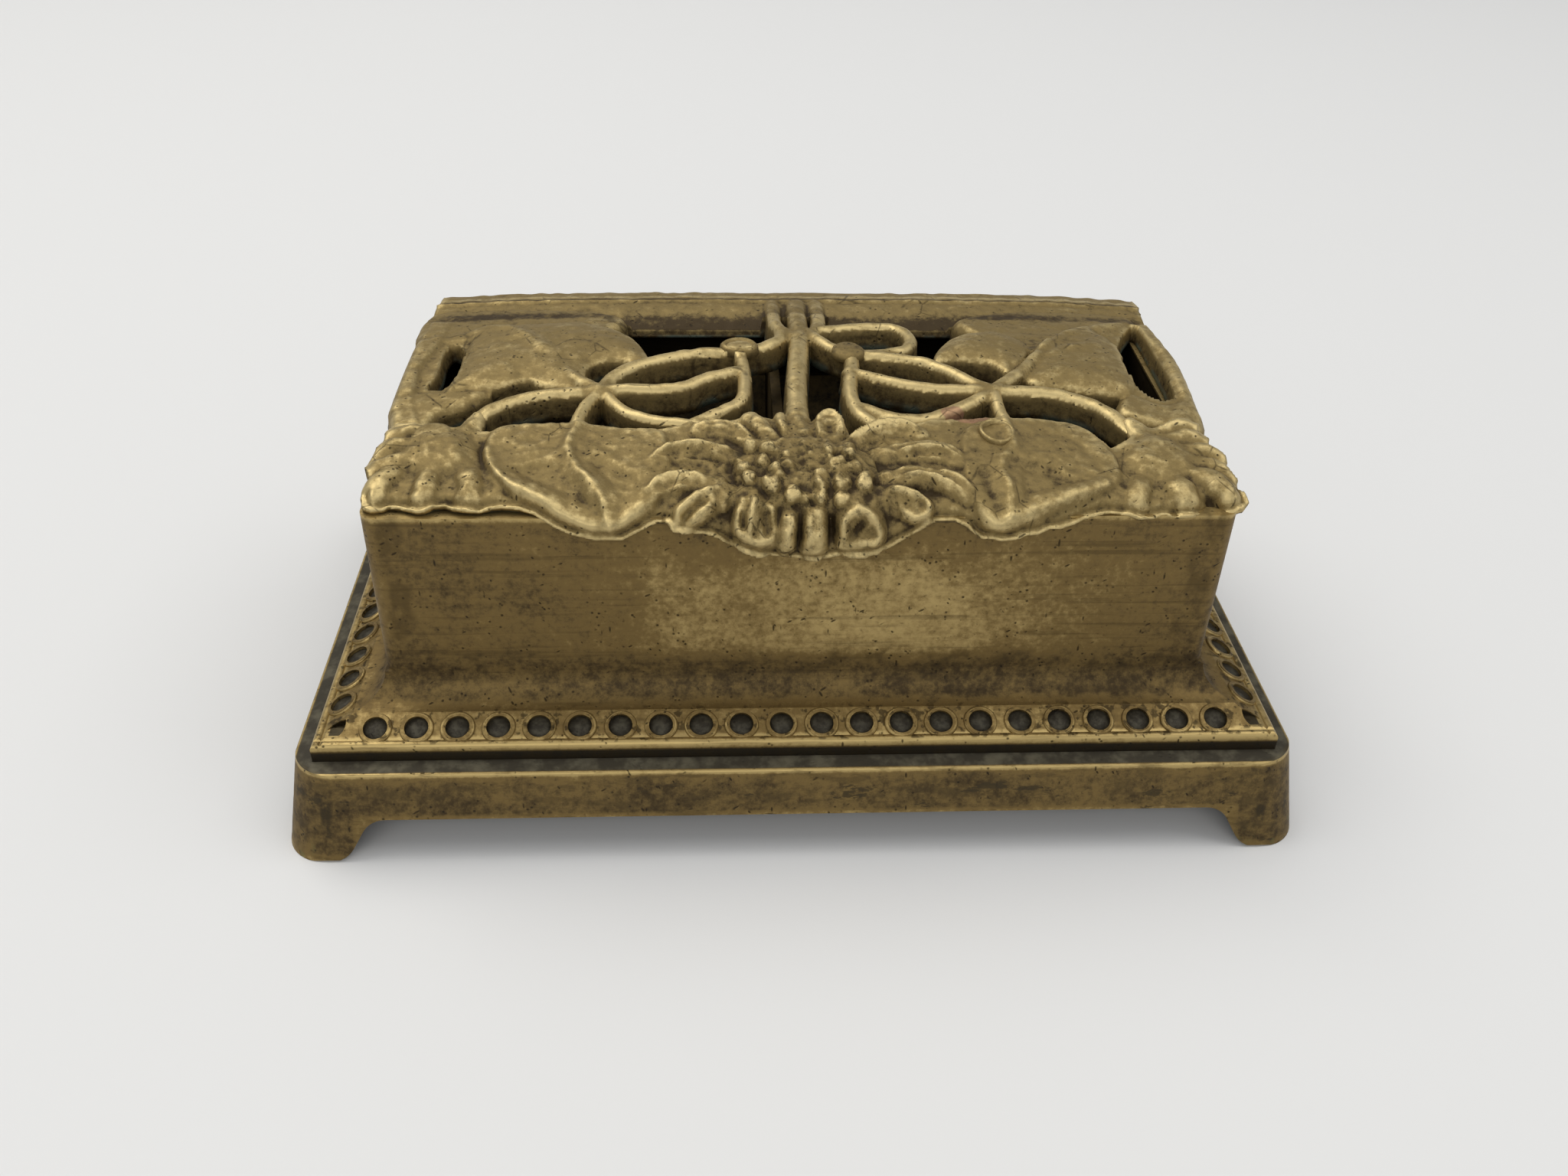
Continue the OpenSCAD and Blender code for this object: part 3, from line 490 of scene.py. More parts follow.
def room_below(x, s):
    """How far the metal can go below the dome before it meets the body or the hinge."""
    y, z, lean = dome(x, s)
    over = (z - CLEAR_Z) / np.cos(lean).clip(0.05)
    ahead = np.where(lean > 0.02, (CLEAR_Y - y) / np.sin(lean).clip(0.02), -9)
    room = np.maximum(over, ahead)
    leaf = (np.abs(x) < 30.5) & (y > 18.2)
    room = np.where(leaf, np.minimum(room, z - np.where(y > 20.4, 32.29, 31.99)), room)
    return room.clip(0.15)


def through(points, steps=7, closed=False):
    """A smooth line through a few points."""
    p = np.array(points, float)
    p = np.vstack([p[-1:], p, p[:2]]) if closed else np.vstack([2 * p[:1] - p[1:2], p, 2 * p[-1:] - p[-2:-1]])
    t = np.arange(steps)[:, None] / steps
    runs = [0.5 * (2 * b + (c - a) * t + (2 * a - 5 * b + 4 * c - d) * t ** 2
                   + (3 * b - a - 3 * c + d) * t ** 3)
            for a, b, c, d in zip(p, p[1:], p[2:], p[3:])]
    if not closed:
        runs.append(p[-2:-1])
    return np.vstack(runs)


def blurred(field, reach):
    """A field averaged three times over a square, which is close to a bell."""
    n = max(int(reach), 1)
    for axis in (0, 1) * 3:
        padded = np.concatenate([np.repeat(field.take([0], axis), n + 1, axis), field,
                                 np.repeat(field.take([-1], axis), n, axis)], axis)
        total = np.cumsum(padded, axis)
        size = field.shape[axis]
        field = (total.take(range(2 * n + 1, 2 * n + 1 + size), axis)
                 - total.take(range(size), axis)) / (2 * n + 1)
    return field


class Casting:
    """Part of the lid as heights over its dome: metal is how far inside the metal a place is."""

    def __init__(self, x0, x1, s0, s1, pitch):
        self.pitch = pitch
        self.x, self.s = np.meshgrid(np.arange(x0, x1 + pitch / 2, pitch), np.arange(s0, s1 + pitch / 2, pitch))
        self.metal = np.full(self.x.shape, -9.0)
        self.top = np.full(self.x.shape, -9.0)
        self.edge = np.full(self.x.shape, -9.0)
        self.crust = np.zeros(self.x.shape)

    def along(self, points, steps=7):
        """Distance to a smooth line, and how far along it from 0 to 1."""
        line = through(points, steps)
        best = np.full(self.x.shape, 99.0)
        where = np.zeros(self.x.shape)
        lengths = np.linalg.norm(np.diff(line, axis=0), axis=1)
        run = np.concatenate([[0], np.cumsum(lengths)]) / lengths.sum()
        for a, b, r0, r1 in zip(line, line[1:], run, run[1:]):
            d = b - a
            t = (((self.x - a[0]) * d[0] + (self.s - a[1]) * d[1]) / (d @ d + 1e-9)).clip(0, 1)
            far = np.hypot(self.x - a[0] - t * d[0], self.s - a[1] - t * d[1])
            near = far < best
            best = np.where(near, far, best)
            where = np.where(near, r0 + t * (r1 - r0), where)
        return best, where

    def within(self, outline, steps=5, smooth=True):
        """Distance inside a closed outline, negative outside it."""
        line = through(outline, steps, closed=True) if smooth else np.array(outline, float)
        best = np.full(self.x.shape, 99.0)
        inside = np.zeros(self.x.shape, bool)
        for a, b in zip(line, np.roll(line, -1, axis=0)):
            d = b - a
            t = (((self.x - a[0]) * d[0] + (self.s - a[1]) * d[1]) / (d @ d + 1e-9)).clip(0, 1)
            best = np.minimum(best, np.hypot(self.x - a[0] - t * d[0], self.s - a[1] - t * d[1]))
            crosses = (a[1] > self.s) != (b[1] > self.s)
            if a[1] != b[1]:
                inside ^= crosses & (self.x < (b[0] - a[0]) * (self.s - a[1]) / (b[1] - a[1]) + a[0])
        return np.where(inside, best, -best)

    def raise_to(self, height, soft=0.12):
        """Takes the higher of what stands there and a new height, with a small fillet between."""
        gap = self.top - height
        fillet = np.maximum(soft - np.abs(gap), 0) ** 2 / (4 * soft)
        self.top = np.maximum(self.top, height) + fillet

    def add(self, inner, height, at_edge):
        """Metal wherever inner is above 0, with the height it has there and at its edge."""
        self.metal = np.maximum(self.metal, inner)
        self.edge = np.maximum(self.edge, np.where(inner > -0.5, at_edge, -9))
        self.raise_to(np.where(inner > 0, height, at_edge + 4.5 * inner))

    def stem(self, points, width, rise=0.5, low=-0.2):
        far, run = self.along(points)
        half = 1.14 * (np.interp(run, *zip(*width)) if isinstance(width, (list, tuple)) else width) / 2
        rise = np.interp(run, *zip(*rise)) if isinstance(rise, (list, tuple)) else rise
        self.add(half - far, low + (rise - low) * (1 - (far / half) ** 2).clip(0) ** 0.65, low)

    def ground(self, outline, level=0.0, edge=0.35, smooth=False):
        inner = self.within(outline, smooth=smooth)
        fall = edge * (1 - inner.clip(0, edge) / edge) ** 2
        self.add(inner, level - fall, level - edge)

    def swell(self, outline, level, crown, reach=3.0):
        """A leaf: rises from its edge to a crown."""
        inner = self.within(outline)
        t = (inner / reach).clip(0, 1)
        self.add(inner, level + crown * t * (2 - t) - 0.3 * (1 - inner.clip(0, 0.4) / 0.4) ** 2, level - 0.3)

    def bulb(self, points, width, rise, level=0.0, soft=0.3, fall=0.35):
        """A rolled petal along a line, full in its middle, that dies into what is round it."""
        far, run = self.along(points)
        half = np.interp(run, *zip(*width)) / 2 if isinstance(width, (list, tuple)) else width / 2
        bow = (1 - (far / half) ** 2).clip(0) ** 0.6
        up = 1 - fall * (2 * np.abs(run - 0.5)) ** 2
        self.raise_to(np.where(far < half, level + rise * bow * up, -9), soft)

    def shaped(self, outline, rise, slope=1.2, level=0.0, soft=0.3):
        """A pad inside an outline, with a rounded shoulder as wide as its slope."""
        t = (self.within(outline) / slope).clip(0, 1)
        self.raise_to(np.where(t > 0, level + rise * (t * (2 - t)) ** 0.7, -9), soft)

    def ridge(self, points, width, rise, start=1.0, end=1.0):
        """A rib or vein added on what is there already, with the strength it has at each end."""
        far, run = self.along(points)
        taper = np.minimum(1, np.minimum(start + run * 4, end + (1 - run) * 4))
        self.top = self.top + rise * taper * np.exp(-(far / (width / 2)) ** 2)

    def knob(self, x, s, r, rise, level):
        far = np.hypot(self.x - x, (self.s - s))
        cap = np.sqrt((1 - (far / r) ** 2).clip(0))
        self.raise_to(np.where(far < r, level + rise * cap, -9), 0.1)

    def cut(self, outline):
        self.metal = np.minimum(self.metal, -self.within(outline))

    def sink(self, outline, depth, slope=0.7):
        inner = self.within(outline)
        t = (inner / slope).clip(0, 1)
        self.top = self.top - depth * t * t * (3 - 2 * t)

    def piece(self, name, depth, flare=0.2, rows=4):
        """The casting as a closed mesh: its top, the walls of its openings and its underside."""
        f = np.where(np.abs(self.metal) < 1e-3, 1e-3, self.metal)
        top = self.top
        inside = f > 0
        index = np.full(f.shape, -1)
        index[inside] = np.arange(inside.sum())
        count = int(inside.sum())
        deep = np.minimum(depth, room_below(self.x, self.s))
        deep = np.maximum(deep, -(top - 0.25))
        gradient_s, gradient_x = np.gradient(blurred(f, 1), self.pitch)
        length = np.hypot(gradient_x, gradient_s) + 1e-6
        out_x, out_s = -gradient_x / length, -gradient_s / length
        fields = np.stack([self.x, self.s, top, deep, out_x, out_s, self.crust, self.edge], -1)
        crossing = {}
        edge_fields = []

        def cross(j, i, down):
            key = (j, i, down)
            if key not in crossing:
                k, l = (j + 1, i) if down else (j, i + 1)
                t = min(max(f[j, i] / (f[j, i] - f[k, l]), 0.08), 0.92)
                crossing[key] = len(edge_fields)
                mixed = fields[j, i] * (1 - t) + fields[k, l] * t
                a, b = fields[j, i][7], fields[k, l][7]
                mixed[2] = a * (1 - t) + b * t if min(a, b) > -5 else max(a, b)
                edge_fields.append(mixed)
            return -1 - crossing[key]

        whole = inside[:-1, :-1] & inside[1:, :-1] & inside[:-1, 1:] & inside[1:, 1:]
        some = (inside[:-1, :-1] | inside[1:, :-1] | inside[:-1, 1:] | inside[1:, 1:]) & ~whole
        j, i = np.nonzero(whole)
        quads = np.stack([index[j, i], index[j + 1, i], index[j + 1, i + 1], index[j, i + 1]], -1)
        faces = []
        rims = []
        for j, i in zip(*np.nonzero(some)):
            ring = []
            corners = [(j, i), (j + 1, i), (j + 1, i + 1), (j, i + 1)]
            edges = [(j, i, True), (j + 1, i, False), (j, i + 1, True), (j, i, False)]
            for k in range(4):
                if inside[corners[k]]:
                    ring.append(int(index[corners[k]]))
                if inside[corners[k]] != inside[corners[(k + 1) % 4]]:
                    ring.append(cross(*edges[k]))
            faces.append(ring)
            for a, b in zip(ring, ring[1:] + ring[:1]):
                if a < 0 and b < 0:
                    rims.append((a, b))
        node = fields[inside]
        rim = np.array(edge_fields)
        m = len(rim)
        levels = np.arange(rows + 1) / rows
        points = [on_lid(node[:, 0], node[:, 1], node[:, 2])]
        top_wear_and_shade = self.relief()
        wear_and_painted_light = [top_wear_and_shade[inside]]
        wet = [np.zeros(count)]
        crusts = [node[:, 6]]
        # Down the walls of the openings the tone darkens towards their bottom and brightens along the lower
        # edge's lip, and the underside is dark
        for level in levels:
            off = flare * level ** 2
            points.append(on_lid(rim[:, 0] + rim[:, 4] * off, rim[:, 1] + rim[:, 5] * off,
                                 rim[:, 2] * (1 - level) - rim[:, 3] * level))
            wear_and_painted_light.append(0.42 - 0.3 * level + 0.3 * (rim[:, 1] > 43.0) * (level < 0.3))
            wet.append(np.full(m, level))
            crusts.append(rim[:, 6])
        points.append(on_lid(node[:, 0], node[:, 1], -node[:, 3]))
        wear_and_painted_light.append(np.full(count, -0.2))
        wet.append(np.full(count, 0.6))
        crusts.append(node[:, 6])

        def top_of(v):
            return v if v >= 0 else count + (-1 - v)

        def under(v):
            return count + m * (rows + 1) + v if v >= 0 else count + m * rows + (-1 - v)

        all_faces = quads.tolist() + [[top_of(v) for v in ring] for ring in faces]
        below = count + m * (rows + 1)
        all_faces += (quads[:, ::-1] + below).tolist() + [[under(v) for v in ring[::-1]] for ring in faces]
        for a, b in rims:
            a, b = -1 - a, -1 - b
            for k in range(rows):
                base = count + m * k
                all_faces.append([base + b, base + a, base + m + a, base + m + b])
        mesh = bpy.data.meshes.new(name)
        mesh.from_pydata((np.vstack(points) * MM).tolist(), [], all_faces)
        mesh.polygons.foreach_set("use_smooth", np.ones(len(mesh.polygons), bool))
        for label, values in (("wear_and_painted_light", wear_and_painted_light), ("deep", wet), ("crust", crusts)):
            mesh.attributes.new(label, "FLOAT", "POINT").data.foreach_set(
                "value", np.concatenate(values).astype(np.float32))
        made = bpy.data.objects.new(name, mesh)
        scene.collection.objects.link(made)
        return made

    def relief(self):
        """How a place stands among its neighbours: rubbed ridges above 0.5, hollows below it darkened with dirt
        and painted shade.
        """
        height = np.where(self.metal > 0, self.top, -1.2)
        near = blurred(height, 0.45 / self.pitch)
        far = blurred(height, 1.6 / self.pitch)
        return 0.5 + ((height - near) * 1.1).clip(-0.4, 0.3) + ((height - far) * 0.22).clip(-0.15, 0.2)


def cast_skin(c, size):
    """The uneven skin of a sand casting, the same on every run."""
    rough = np.random.default_rng(11).normal(size=c.top.shape)
    even = blurred(rough, 1.2)
    return np.where(c.metal > 0.1, size * even / even.std() * (0.5 + 2.0 * c.crust ** 2), 0)


def stems(c):
    """The stems that cross behind the flowers, the same on any part of the lid."""
    c.stem([(1.2, -0.4), (1.0, 6.4), (0.8, 15.6), (0.0, 26.0), (-0.1, 35.0)], 1.8,
           [(0, 0.0), (0.12, 0.25), (0.3, 0.55), (0.88, 0.55), (1, 0.0)])
    c.stem([(-1.5, -0.5), (-1.5, 6.0), (-1.4, 11.4), (-0.2, 13.9), (0.7, 15.8)], 1.3,
           [(0, 0.0), (0.3, 0.2), (0.6, 0.4)])
    c.stem([(3.2, -0.5), (3.2, 6.0), (3.0, 11.4), (2.2, 13.6), (1.1, 15.6)], 1.35,
           [(0, 0.0), (0.3, 0.2), (0.6, 0.4)])
    c.stem([(-18.6, 26.4), (-17.2, 23.2), (-14.4, 20.8), (-9.9, 18.9), (-6.7, 18.6), (-2.8, 17.2), (-0.9, 14.6),
            (-1.4, 11.4)], 1.45, 0.5)
    c.stem([(-18.6, 26.4), (-16.1, 26.2), (-11.3, 25.9), (-8.5, 23.9), (-5.6, 22.6)], 1.35, 0.5)
    c.stem([(-5.3, 18.4), (-4.9, 23.8), (-5.3, 27.9), (-7.3, 30.0), (-9.6, 31.8)], 1.2, 0.4)
    c.stem([(-18.0, 27.0), (-16.9, 29.0), (-15.2, 30.6), (-12.9, 31.5), (-8.6, 32.4)], 1.2, 0.35)
    c.stem([(-18.6, 26.4), (-24.0, 27.1), (-27.5, 28.6), (-29.7, 31.1), (-30.8, 34.6)], 1.5,
           [(0, 0.5), (0.7, 0.5), (1, -0.2)])
    c.stem([(-18.6, 26.4), (-19.7, 28.8), (-20.4, 31.4), (-20.9, 34.6)], 1.2, 0.5)
    c.stem([(-25.2, 17.4), (-23.0, 21.2), (-20.8, 24.4), (-18.6, 26.4)], [(0, 0.9), (1, 1.5)],
           [(0, 0.3), (1, 0.55)], -0.1)
    c.stem([(1.6, 13.4), (3.4, 16.6), (5.5, 19.0), (5.7, 21.3), (5.1, 26.5), (5.6, 30.3), (6.6, 31.8)], 1.35,
           0.5)
    c.stem([(3.1, 12.8), (7.4, 11.9), (10.9, 12.2), (12.2, 14.9), (11.4, 17.7), (8.9, 18.7), (5.5, 18.9)], 1.25,
           0.4)
    c.stem([(5.5, 19.0), (9.0, 19.6), (12.6, 20.6), (15.4, 22.9), (17.2, 25.0), (19.0, 26.3)], 1.35, 0.5)
    c.stem([(5.3, 22.8), (10.3, 25.2), (14.0, 26.1), (19.0, 26.4)], 1.3, 0.5)
    c.stem([(5.6, 29.4), (9.0, 31.2), (12.2, 31.2), (15.9, 28.9), (19.0, 26.4)], 1.4, 0.45)
    c.stem([(26.3, 15.9), (23.0, 21.4), (19.0, 26.3)], [(0, 0.9), (1, 1.5)], [(0, 0.25), (1, 0.55)], -0.1)
    c.stem([(19.0, 26.4), (23.7, 26.6), (26.9, 27.9), (29.4, 30.1), (32.3, 34.6)], 1.5,
           [(0, 0.5), (0.7, 0.5), (1, -0.2)])
    c.stem([(19.0, 26.4), (18.9, 29.0), (19.2, 31.9), (19.5, 34.6)], 1.2, 0.45)


openwork = Casting(-38.8, 39.8, -0.5, 35.5, 0.26)
# Rear band, side rails and the grounds that the leaves grow from
band = openwork.within([(-37.6, -0.5), (39.5, -0.5), (39.4, 8.3), (38, 8.3), (-37, 8.3), (-38, 8.3)],
                       smooth=False)
cove = ((openwork.s - 3.5) / 4.8).clip(0, 1)
openwork.add(band, 0.12 - 0.28 * (openwork.s > 3.35) - 1.5 * cove ** 1.5
             - 0.35 * (1 - (openwork.s + 0.5).clip(0, 0.6) / 0.6) ** 2,
             np.where(openwork.s > 4, -1.7, -0.3))
openwork.ground([(-37.8, 8), (-34.6, 8), (-34.9, 14), (-36.2, 20), (-35.6, 27), (-34.2, 31.4), (-37.6, 31.8),
                 (-38.4, 28), (-38.3, 14)], -0.05, 0.9)
openwork.ground([(36.2, 8), (39.3, 8), (39.6, 19), (38.8, 29.2), (37.6, 31.6), (34, 30.8), (37.2, 26),
                 (37.6, 16)], -0.05, 0.9)
openwork.ground([(-38, 5.2), (-31, 4.6), (-21, 5.6), (-17, 8.4), (-19, 12), (-26, 14), (-33, 14.4), (-38, 14)],
                -0.25, 0.9, True)
openwork.ground([(17.6, 8.6), (22, 5.6), (30, 4.6), (37.6, 5.2), (37, 10.4), (33, 13), (25, 18), (20, 13.4)],
                -0.35, 0.9, True)
openwork.ground([(-37.4, 25.4), (-33, 25), (-29, 25.2), (-31, 27.8), (-33.4, 29.2), (-34.6, 31.6),
                 (-37.6, 31.6)], -0.2, 0.8, True)
openwork.ground([(32.4, 25.4), (35.4, 27.2), (38.6, 25.6), (38.4, 31.6), (35, 31.6), (30.6, 29.2)], -0.2, 0.8,
                True)
stems(openwork)
openwork.swell([(-32.3, 17.4), (-32.6, 14.2), (-33.4, 12.4), (-30.9, 10.6), (-26.2, 10.2), (-22, 9.9),
                (-18.6, 11.6), (-16.4, 13.8), (-15.1, 16.4), (-14.1, 20.3), (-15.6, 20.6), (-17.8, 19.8),
                (-19.8, 20.9), (-20.2, 23.2), (-19.2, 25.2), (-21.6, 25.4), (-24.6, 24.8), (-25.8, 23.9),
                (-29.0, 25.2), (-31.9, 25.4), (-33.4, 26.2), (-32.9, 22)], -0.2, 0.75, 4.5)
openwork.swell([(14.1, 20.2), (14.6, 17.6), (16.4, 14.6), (18.8, 12.9), (22.0, 12.9), (24.2, 15.8),
                (23.6, 18.4), (21.2, 22.6), (19.4, 20.4), (16.2, 19.6)], -0.2, 0.7, 3.0)
openwork.swell([(23.4, 20.6), (24.6, 17.8), (27.6, 13.2), (31.6, 10.8), (33.8, 14.3), (34.1, 19.9),
                (33.0, 25.6), (30.0, 26.0), (26.7, 25.4), (22.6, 24.0)], -0.35, 0.8, 3.4)
openwork.ridge([(-33.0, 11.2), (-29.1, 12.6), (-26.6, 15.4), (-24.8, 18.2)], 1.5, 0.32, 0.0, 1.0)
openwork.ridge([(37.0, 7.9), (32.5, 10.5), (28.6, 13.4), (25.6, 17.2)], 1.5, 0.4, 0.3, 1.0)
openwork.ridge([(22.4, 20.3), (27.1, 18.1), (31.2, 16.4)], 1.3, 0.22, 0.3, 0.2)
openwork.ground([(-36.4, 11.5), (-31.4, 11.8), (-30.4, 18), (-30.8, 26.6), (-35.8, 27.6)], -0.5, 0.6, True)
openwork.cut([(-35.2, 24.2), (-34.7, 20.9), (-34.8, 16.5), (-34.2, 14.4), (-33.0, 15.9), (-32.7, 18.5),
              (-32.8, 22.6), (-33.7, 24.4)])
openwork.ground([(32.4, 11.2), (36, 8.6), (38.6, 8.4), (38.4, 27.4), (35.6, 28.6), (31.6, 26.6)], -0.5, 0.6,
                True)
openwork.cut([(35.9, 10.6), (37.4, 9.4), (37.5, 17), (37.2, 24.6), (36.2, 26.2), (34.8, 25.9), (33.6, 23.3),
              (33.5, 18.2), (34.0, 14.8)])
openwork.top = openwork.top + cast_skin(openwork, 0.07)
openwork.knob(-5.3, 18.2, 1.85, 0.75, 0.1)
openwork.knob(5.5, 18.9, 1.75, 0.55, 0.1)

front = Casting(-39.2, 40.2, 29.5, 48.6, 0.17)
left_lip = [(-36.8, 31.2), (-37.7, 32.5), (-37.6, 33.8), (-38.1, 35.4), (-38.6, 37.8), (-38.0, 39.5),
            (-38.3, 41.7), (-38.0, 42.9), (-37.2, 43.3), (-36.2, 43.2), (-35.8, 42.9), (-34.9, 43.0),
            (-34.1, 43.3), (-33.2, 43.6), (-32.5, 43.5), (-31.9, 43.1), (-31.0, 43.0), (-30.2, 43.4),
            (-29.2, 43.6), (-28.0, 43.7), (-27.0, 43.4), (-26.1, 43.3), (-24.6, 43.5), (-23.4, 43.9),
            (-21.7, 45.0), (-20.2, 45.7), (-18.2, 46.2), (-15.8, 46.2), (-14.6, 45.6), (-12.9, 44.8),
            (-12.0, 44.8)]
middle_lip = [(-11.5, 45.6), (-10.1, 45.7), (-8.8, 45.7), (-7.9, 46.0), (-7.3, 46.3), (-5.8, 47.1),
              (-4.2, 47.6), (-2.2, 47.8), (-0.2, 48.0), (1.9, 48.0), (3.2, 47.7), (6.5, 47.4), (7.5, 46.9),
              (8.3, 46.4), (9.4, 45.8), (11.2, 44.8), (13.1, 44.8), (13.9, 45.2), (14.6, 45.8)]
right_lip = [(15.4, 46.3), (16.3, 46.3), (17.0, 46.5), (18.6, 46.3), (19.1, 46.0), (20.2, 45.9), (21.3, 45.4),
             (22.2, 45.4), (23.4, 45.0), (24.4, 44.5), (26.0, 44.1), (26.7, 44.0), (28.2, 44.2), (29.1, 44.5),
             (30.4, 44.4), (31.5, 44.1), (32.6, 44.3), (33.8, 44.2), (35.2, 43.9), (36.1, 43.7), (37.6, 43.7),
             (38.7, 43.3), (39.4, 42.4), (39.3, 41.2), (38.7, 40.9)]
rear_edge = [(38.9, 39.9), (38.2, 38.6), (38.8, 37.2), (38.6, 36.2), (37.6, 35.2), (37.9, 34.0), (37.2, 32.9),
             (37.6, 31.6), (36.4, 30.9), (33.8, 32.3), (31.4, 32.9), (29.9, 34.6), (28.2, 35.9), (27.0, 33.6),
             (25.3, 32.3), (22.7, 31.7), (19.9, 31.8), (17.4, 31.4), (14.6, 31.8), (12, 31.6), (10.0, 32.8),
             (7.4, 33.0), (5.6, 34.2), (4.6, 35.0), (4.3, 33.2), (3.0, 31.0), (1.6, 31.4), (0.6, 32.6),
             (-1.0, 31.0), (-2.4, 31.6), (-3.8, 31.2), (-4.8, 31.2), (-6.2, 31.8), (-9.4, 32.2), (-13, 33.2),
             (-16.6, 32.9), (-20, 32.2), (-24.8, 32.2), (-26.8, 32.3), (-28.1, 33.2), (-29.4, 33.0),
             (-33.8, 31.6)]
front.ground(rear_edge + left_lip + middle_lip + right_lip, 0.3, 0.2)
# The stems come in from behind and sink into the leaves
front.stem([(-5.3, 27.9), (-7.3, 30.0), (-9.8, 32.2)], 1.2, 0.3)
front.stem([(-12.9, 31.4), (-9.4, 32.4), (-6.4, 33.4)], 1.1, 0.2)
front.stem([(-0.1, 29), (-0.2, 31.6), (-0.2, 35.4)], [(0, 1.8), (0.5, 2.2), (1, 4.2)], [(0, 0.55), (1, 0.9)])
front.stem([(5.1, 26.5), (5.6, 30.3), (6.6, 31.8)], 1.3, 0.35)
front.stem([(-29.5, 30.6), (-30.4, 33.4), (-31.6, 36)], [(0, 1.5), (1, 3.4)], 0.45)
front.stem([(31.0, 31.6), (32.4, 34.6)], [(0, 1.5), (1, 3.4)], 0.45)
# The two front leaves: a rounded pad, a raised lower rim, a dished face on each side of the vein
front.shaped([(-28.4, 35.1), (-28.0, 33.4), (-26.6, 32.5), (-24.8, 32.4), (-20.6, 32.4), (-15.8, 33.3),
              (-12.6, 33.6), (-11.6, 37), (-12.0, 40.6), (-12.4, 43.0), (-13.7, 44.3), (-15.7, 45.6),
              (-17.2, 46.0), (-18.7, 45.9), (-20.2, 45.2), (-21.8, 44.4), (-23.4, 43.4), (-25.0, 42.5),
              (-26.6, 41.6), (-27.8, 39.9), (-28.5, 37.4)], 0.75, 0.7)
front.ridge([(-28.0, 36.6), (-27.2, 39.4), (-26.3, 40.8), (-25.0, 41.7), (-23.4, 42.5), (-21.6, 43.5),
             (-20.1, 44.3), (-18.7, 44.9), (-17.0, 45.1), (-15.7, 44.6), (-14.5, 43.7), (-13.4, 42.6),
             (-12.8, 41.6)], 1.3, 0.42, 0.3, 0.2)
front.ridge([(-19.8, 31.4), (-20.4, 34.2), (-20.8, 36.1), (-20.5, 38.1), (-19.7, 39.8), (-18.4, 41.4),
             (-17.6, 42.8), (-17.2, 43.9), (-16.8, 45.2)], 1.1, 0.42, 1.0, 0.8)
front.sink([(-26.0, 39.2), (-24.8, 38.5), (-23.3, 38.1), (-21.4, 38.3), (-20.4, 39.6), (-19.4, 41.0),
            (-18.4, 42.4), (-18.0, 44.2), (-20.2, 43.4), (-22.4, 42.2), (-24.6, 41.0)], 0.45, 1.1)
front.sink([(-19.4, 38.2), (-17.3, 38.0), (-16.0, 38.9), (-14.6, 40.0), (-13.8, 41.4), (-14.8, 43.2),
            (-16.2, 44.3), (-17.0, 42.6), (-18.2, 40.6)], 0.35, 1.1)
front.ridge([(-24.6, 35.2), (-22.8, 35.0)], 1.2, -0.12, 0.5, 0.5)
front.shaped([(14.0, 38.0), (14.4, 34.6), (16.2, 32.4), (18.7, 31.8), (20.7, 31.7), (22.7, 31.9), (25.3, 32.6),
              (26.8, 33.8), (27.7, 35.6), (28.4, 37.7), (28.5, 39.5), (28.1, 41.0), (27.0, 41.9), (25.2, 43.0),
              (23.0, 43.8), (20.4, 44.7), (18.9, 45.3), (17.6, 45.8), (16.3, 45.9), (15.0, 45.0), (14.1, 42.4)],
             0.75, 0.7)
front.ridge([(27.0, 41.0), (25.2, 42.0), (23.0, 42.8), (20.4, 43.7), (18.9, 44.2), (17.8, 44.6), (16.8, 45.0),
             (16.1, 44.8), (15.4, 44.1), (14.8, 43.2), (14.5, 42.2)], 1.2, 0.42, 0.2, 0.2)
front.ridge([(18.7, 31.2), (19.0, 34.2), (19.0, 36.3), (17.8, 38.4), (17.5, 40.3), (17.8, 41.8), (17.8, 43.2),
             (17.5, 44.5)], 1.1, 0.42, 1.0, 0.8)
front.sink([(19.2, 38.6), (21.5, 38.2), (22.8, 38.8), (23.4, 40.2), (25.6, 41.0), (23.6, 41.9), (21.2, 42.6),
            (18.9, 43.4), (18.7, 41.2)], 0.42, 1.0)
front.sink([(14.9, 39.4), (16.4, 38.8), (16.7, 41.0), (16.8, 43.2), (15.6, 42.9)], 0.3, 0.8)
front.ridge([(20.0, 34.9), (22.7, 34.7), (24.5, 35.3), (25.6, 37.0), (25.9, 39.0)], 0.9, -0.12, 0.2, 0.2)
front.ridge([(19.3, 37.8), (21.5, 37.5), (22.7, 37.9), (23.4, 38.9)], 0.8, 0.12, 0.3, 0.3)
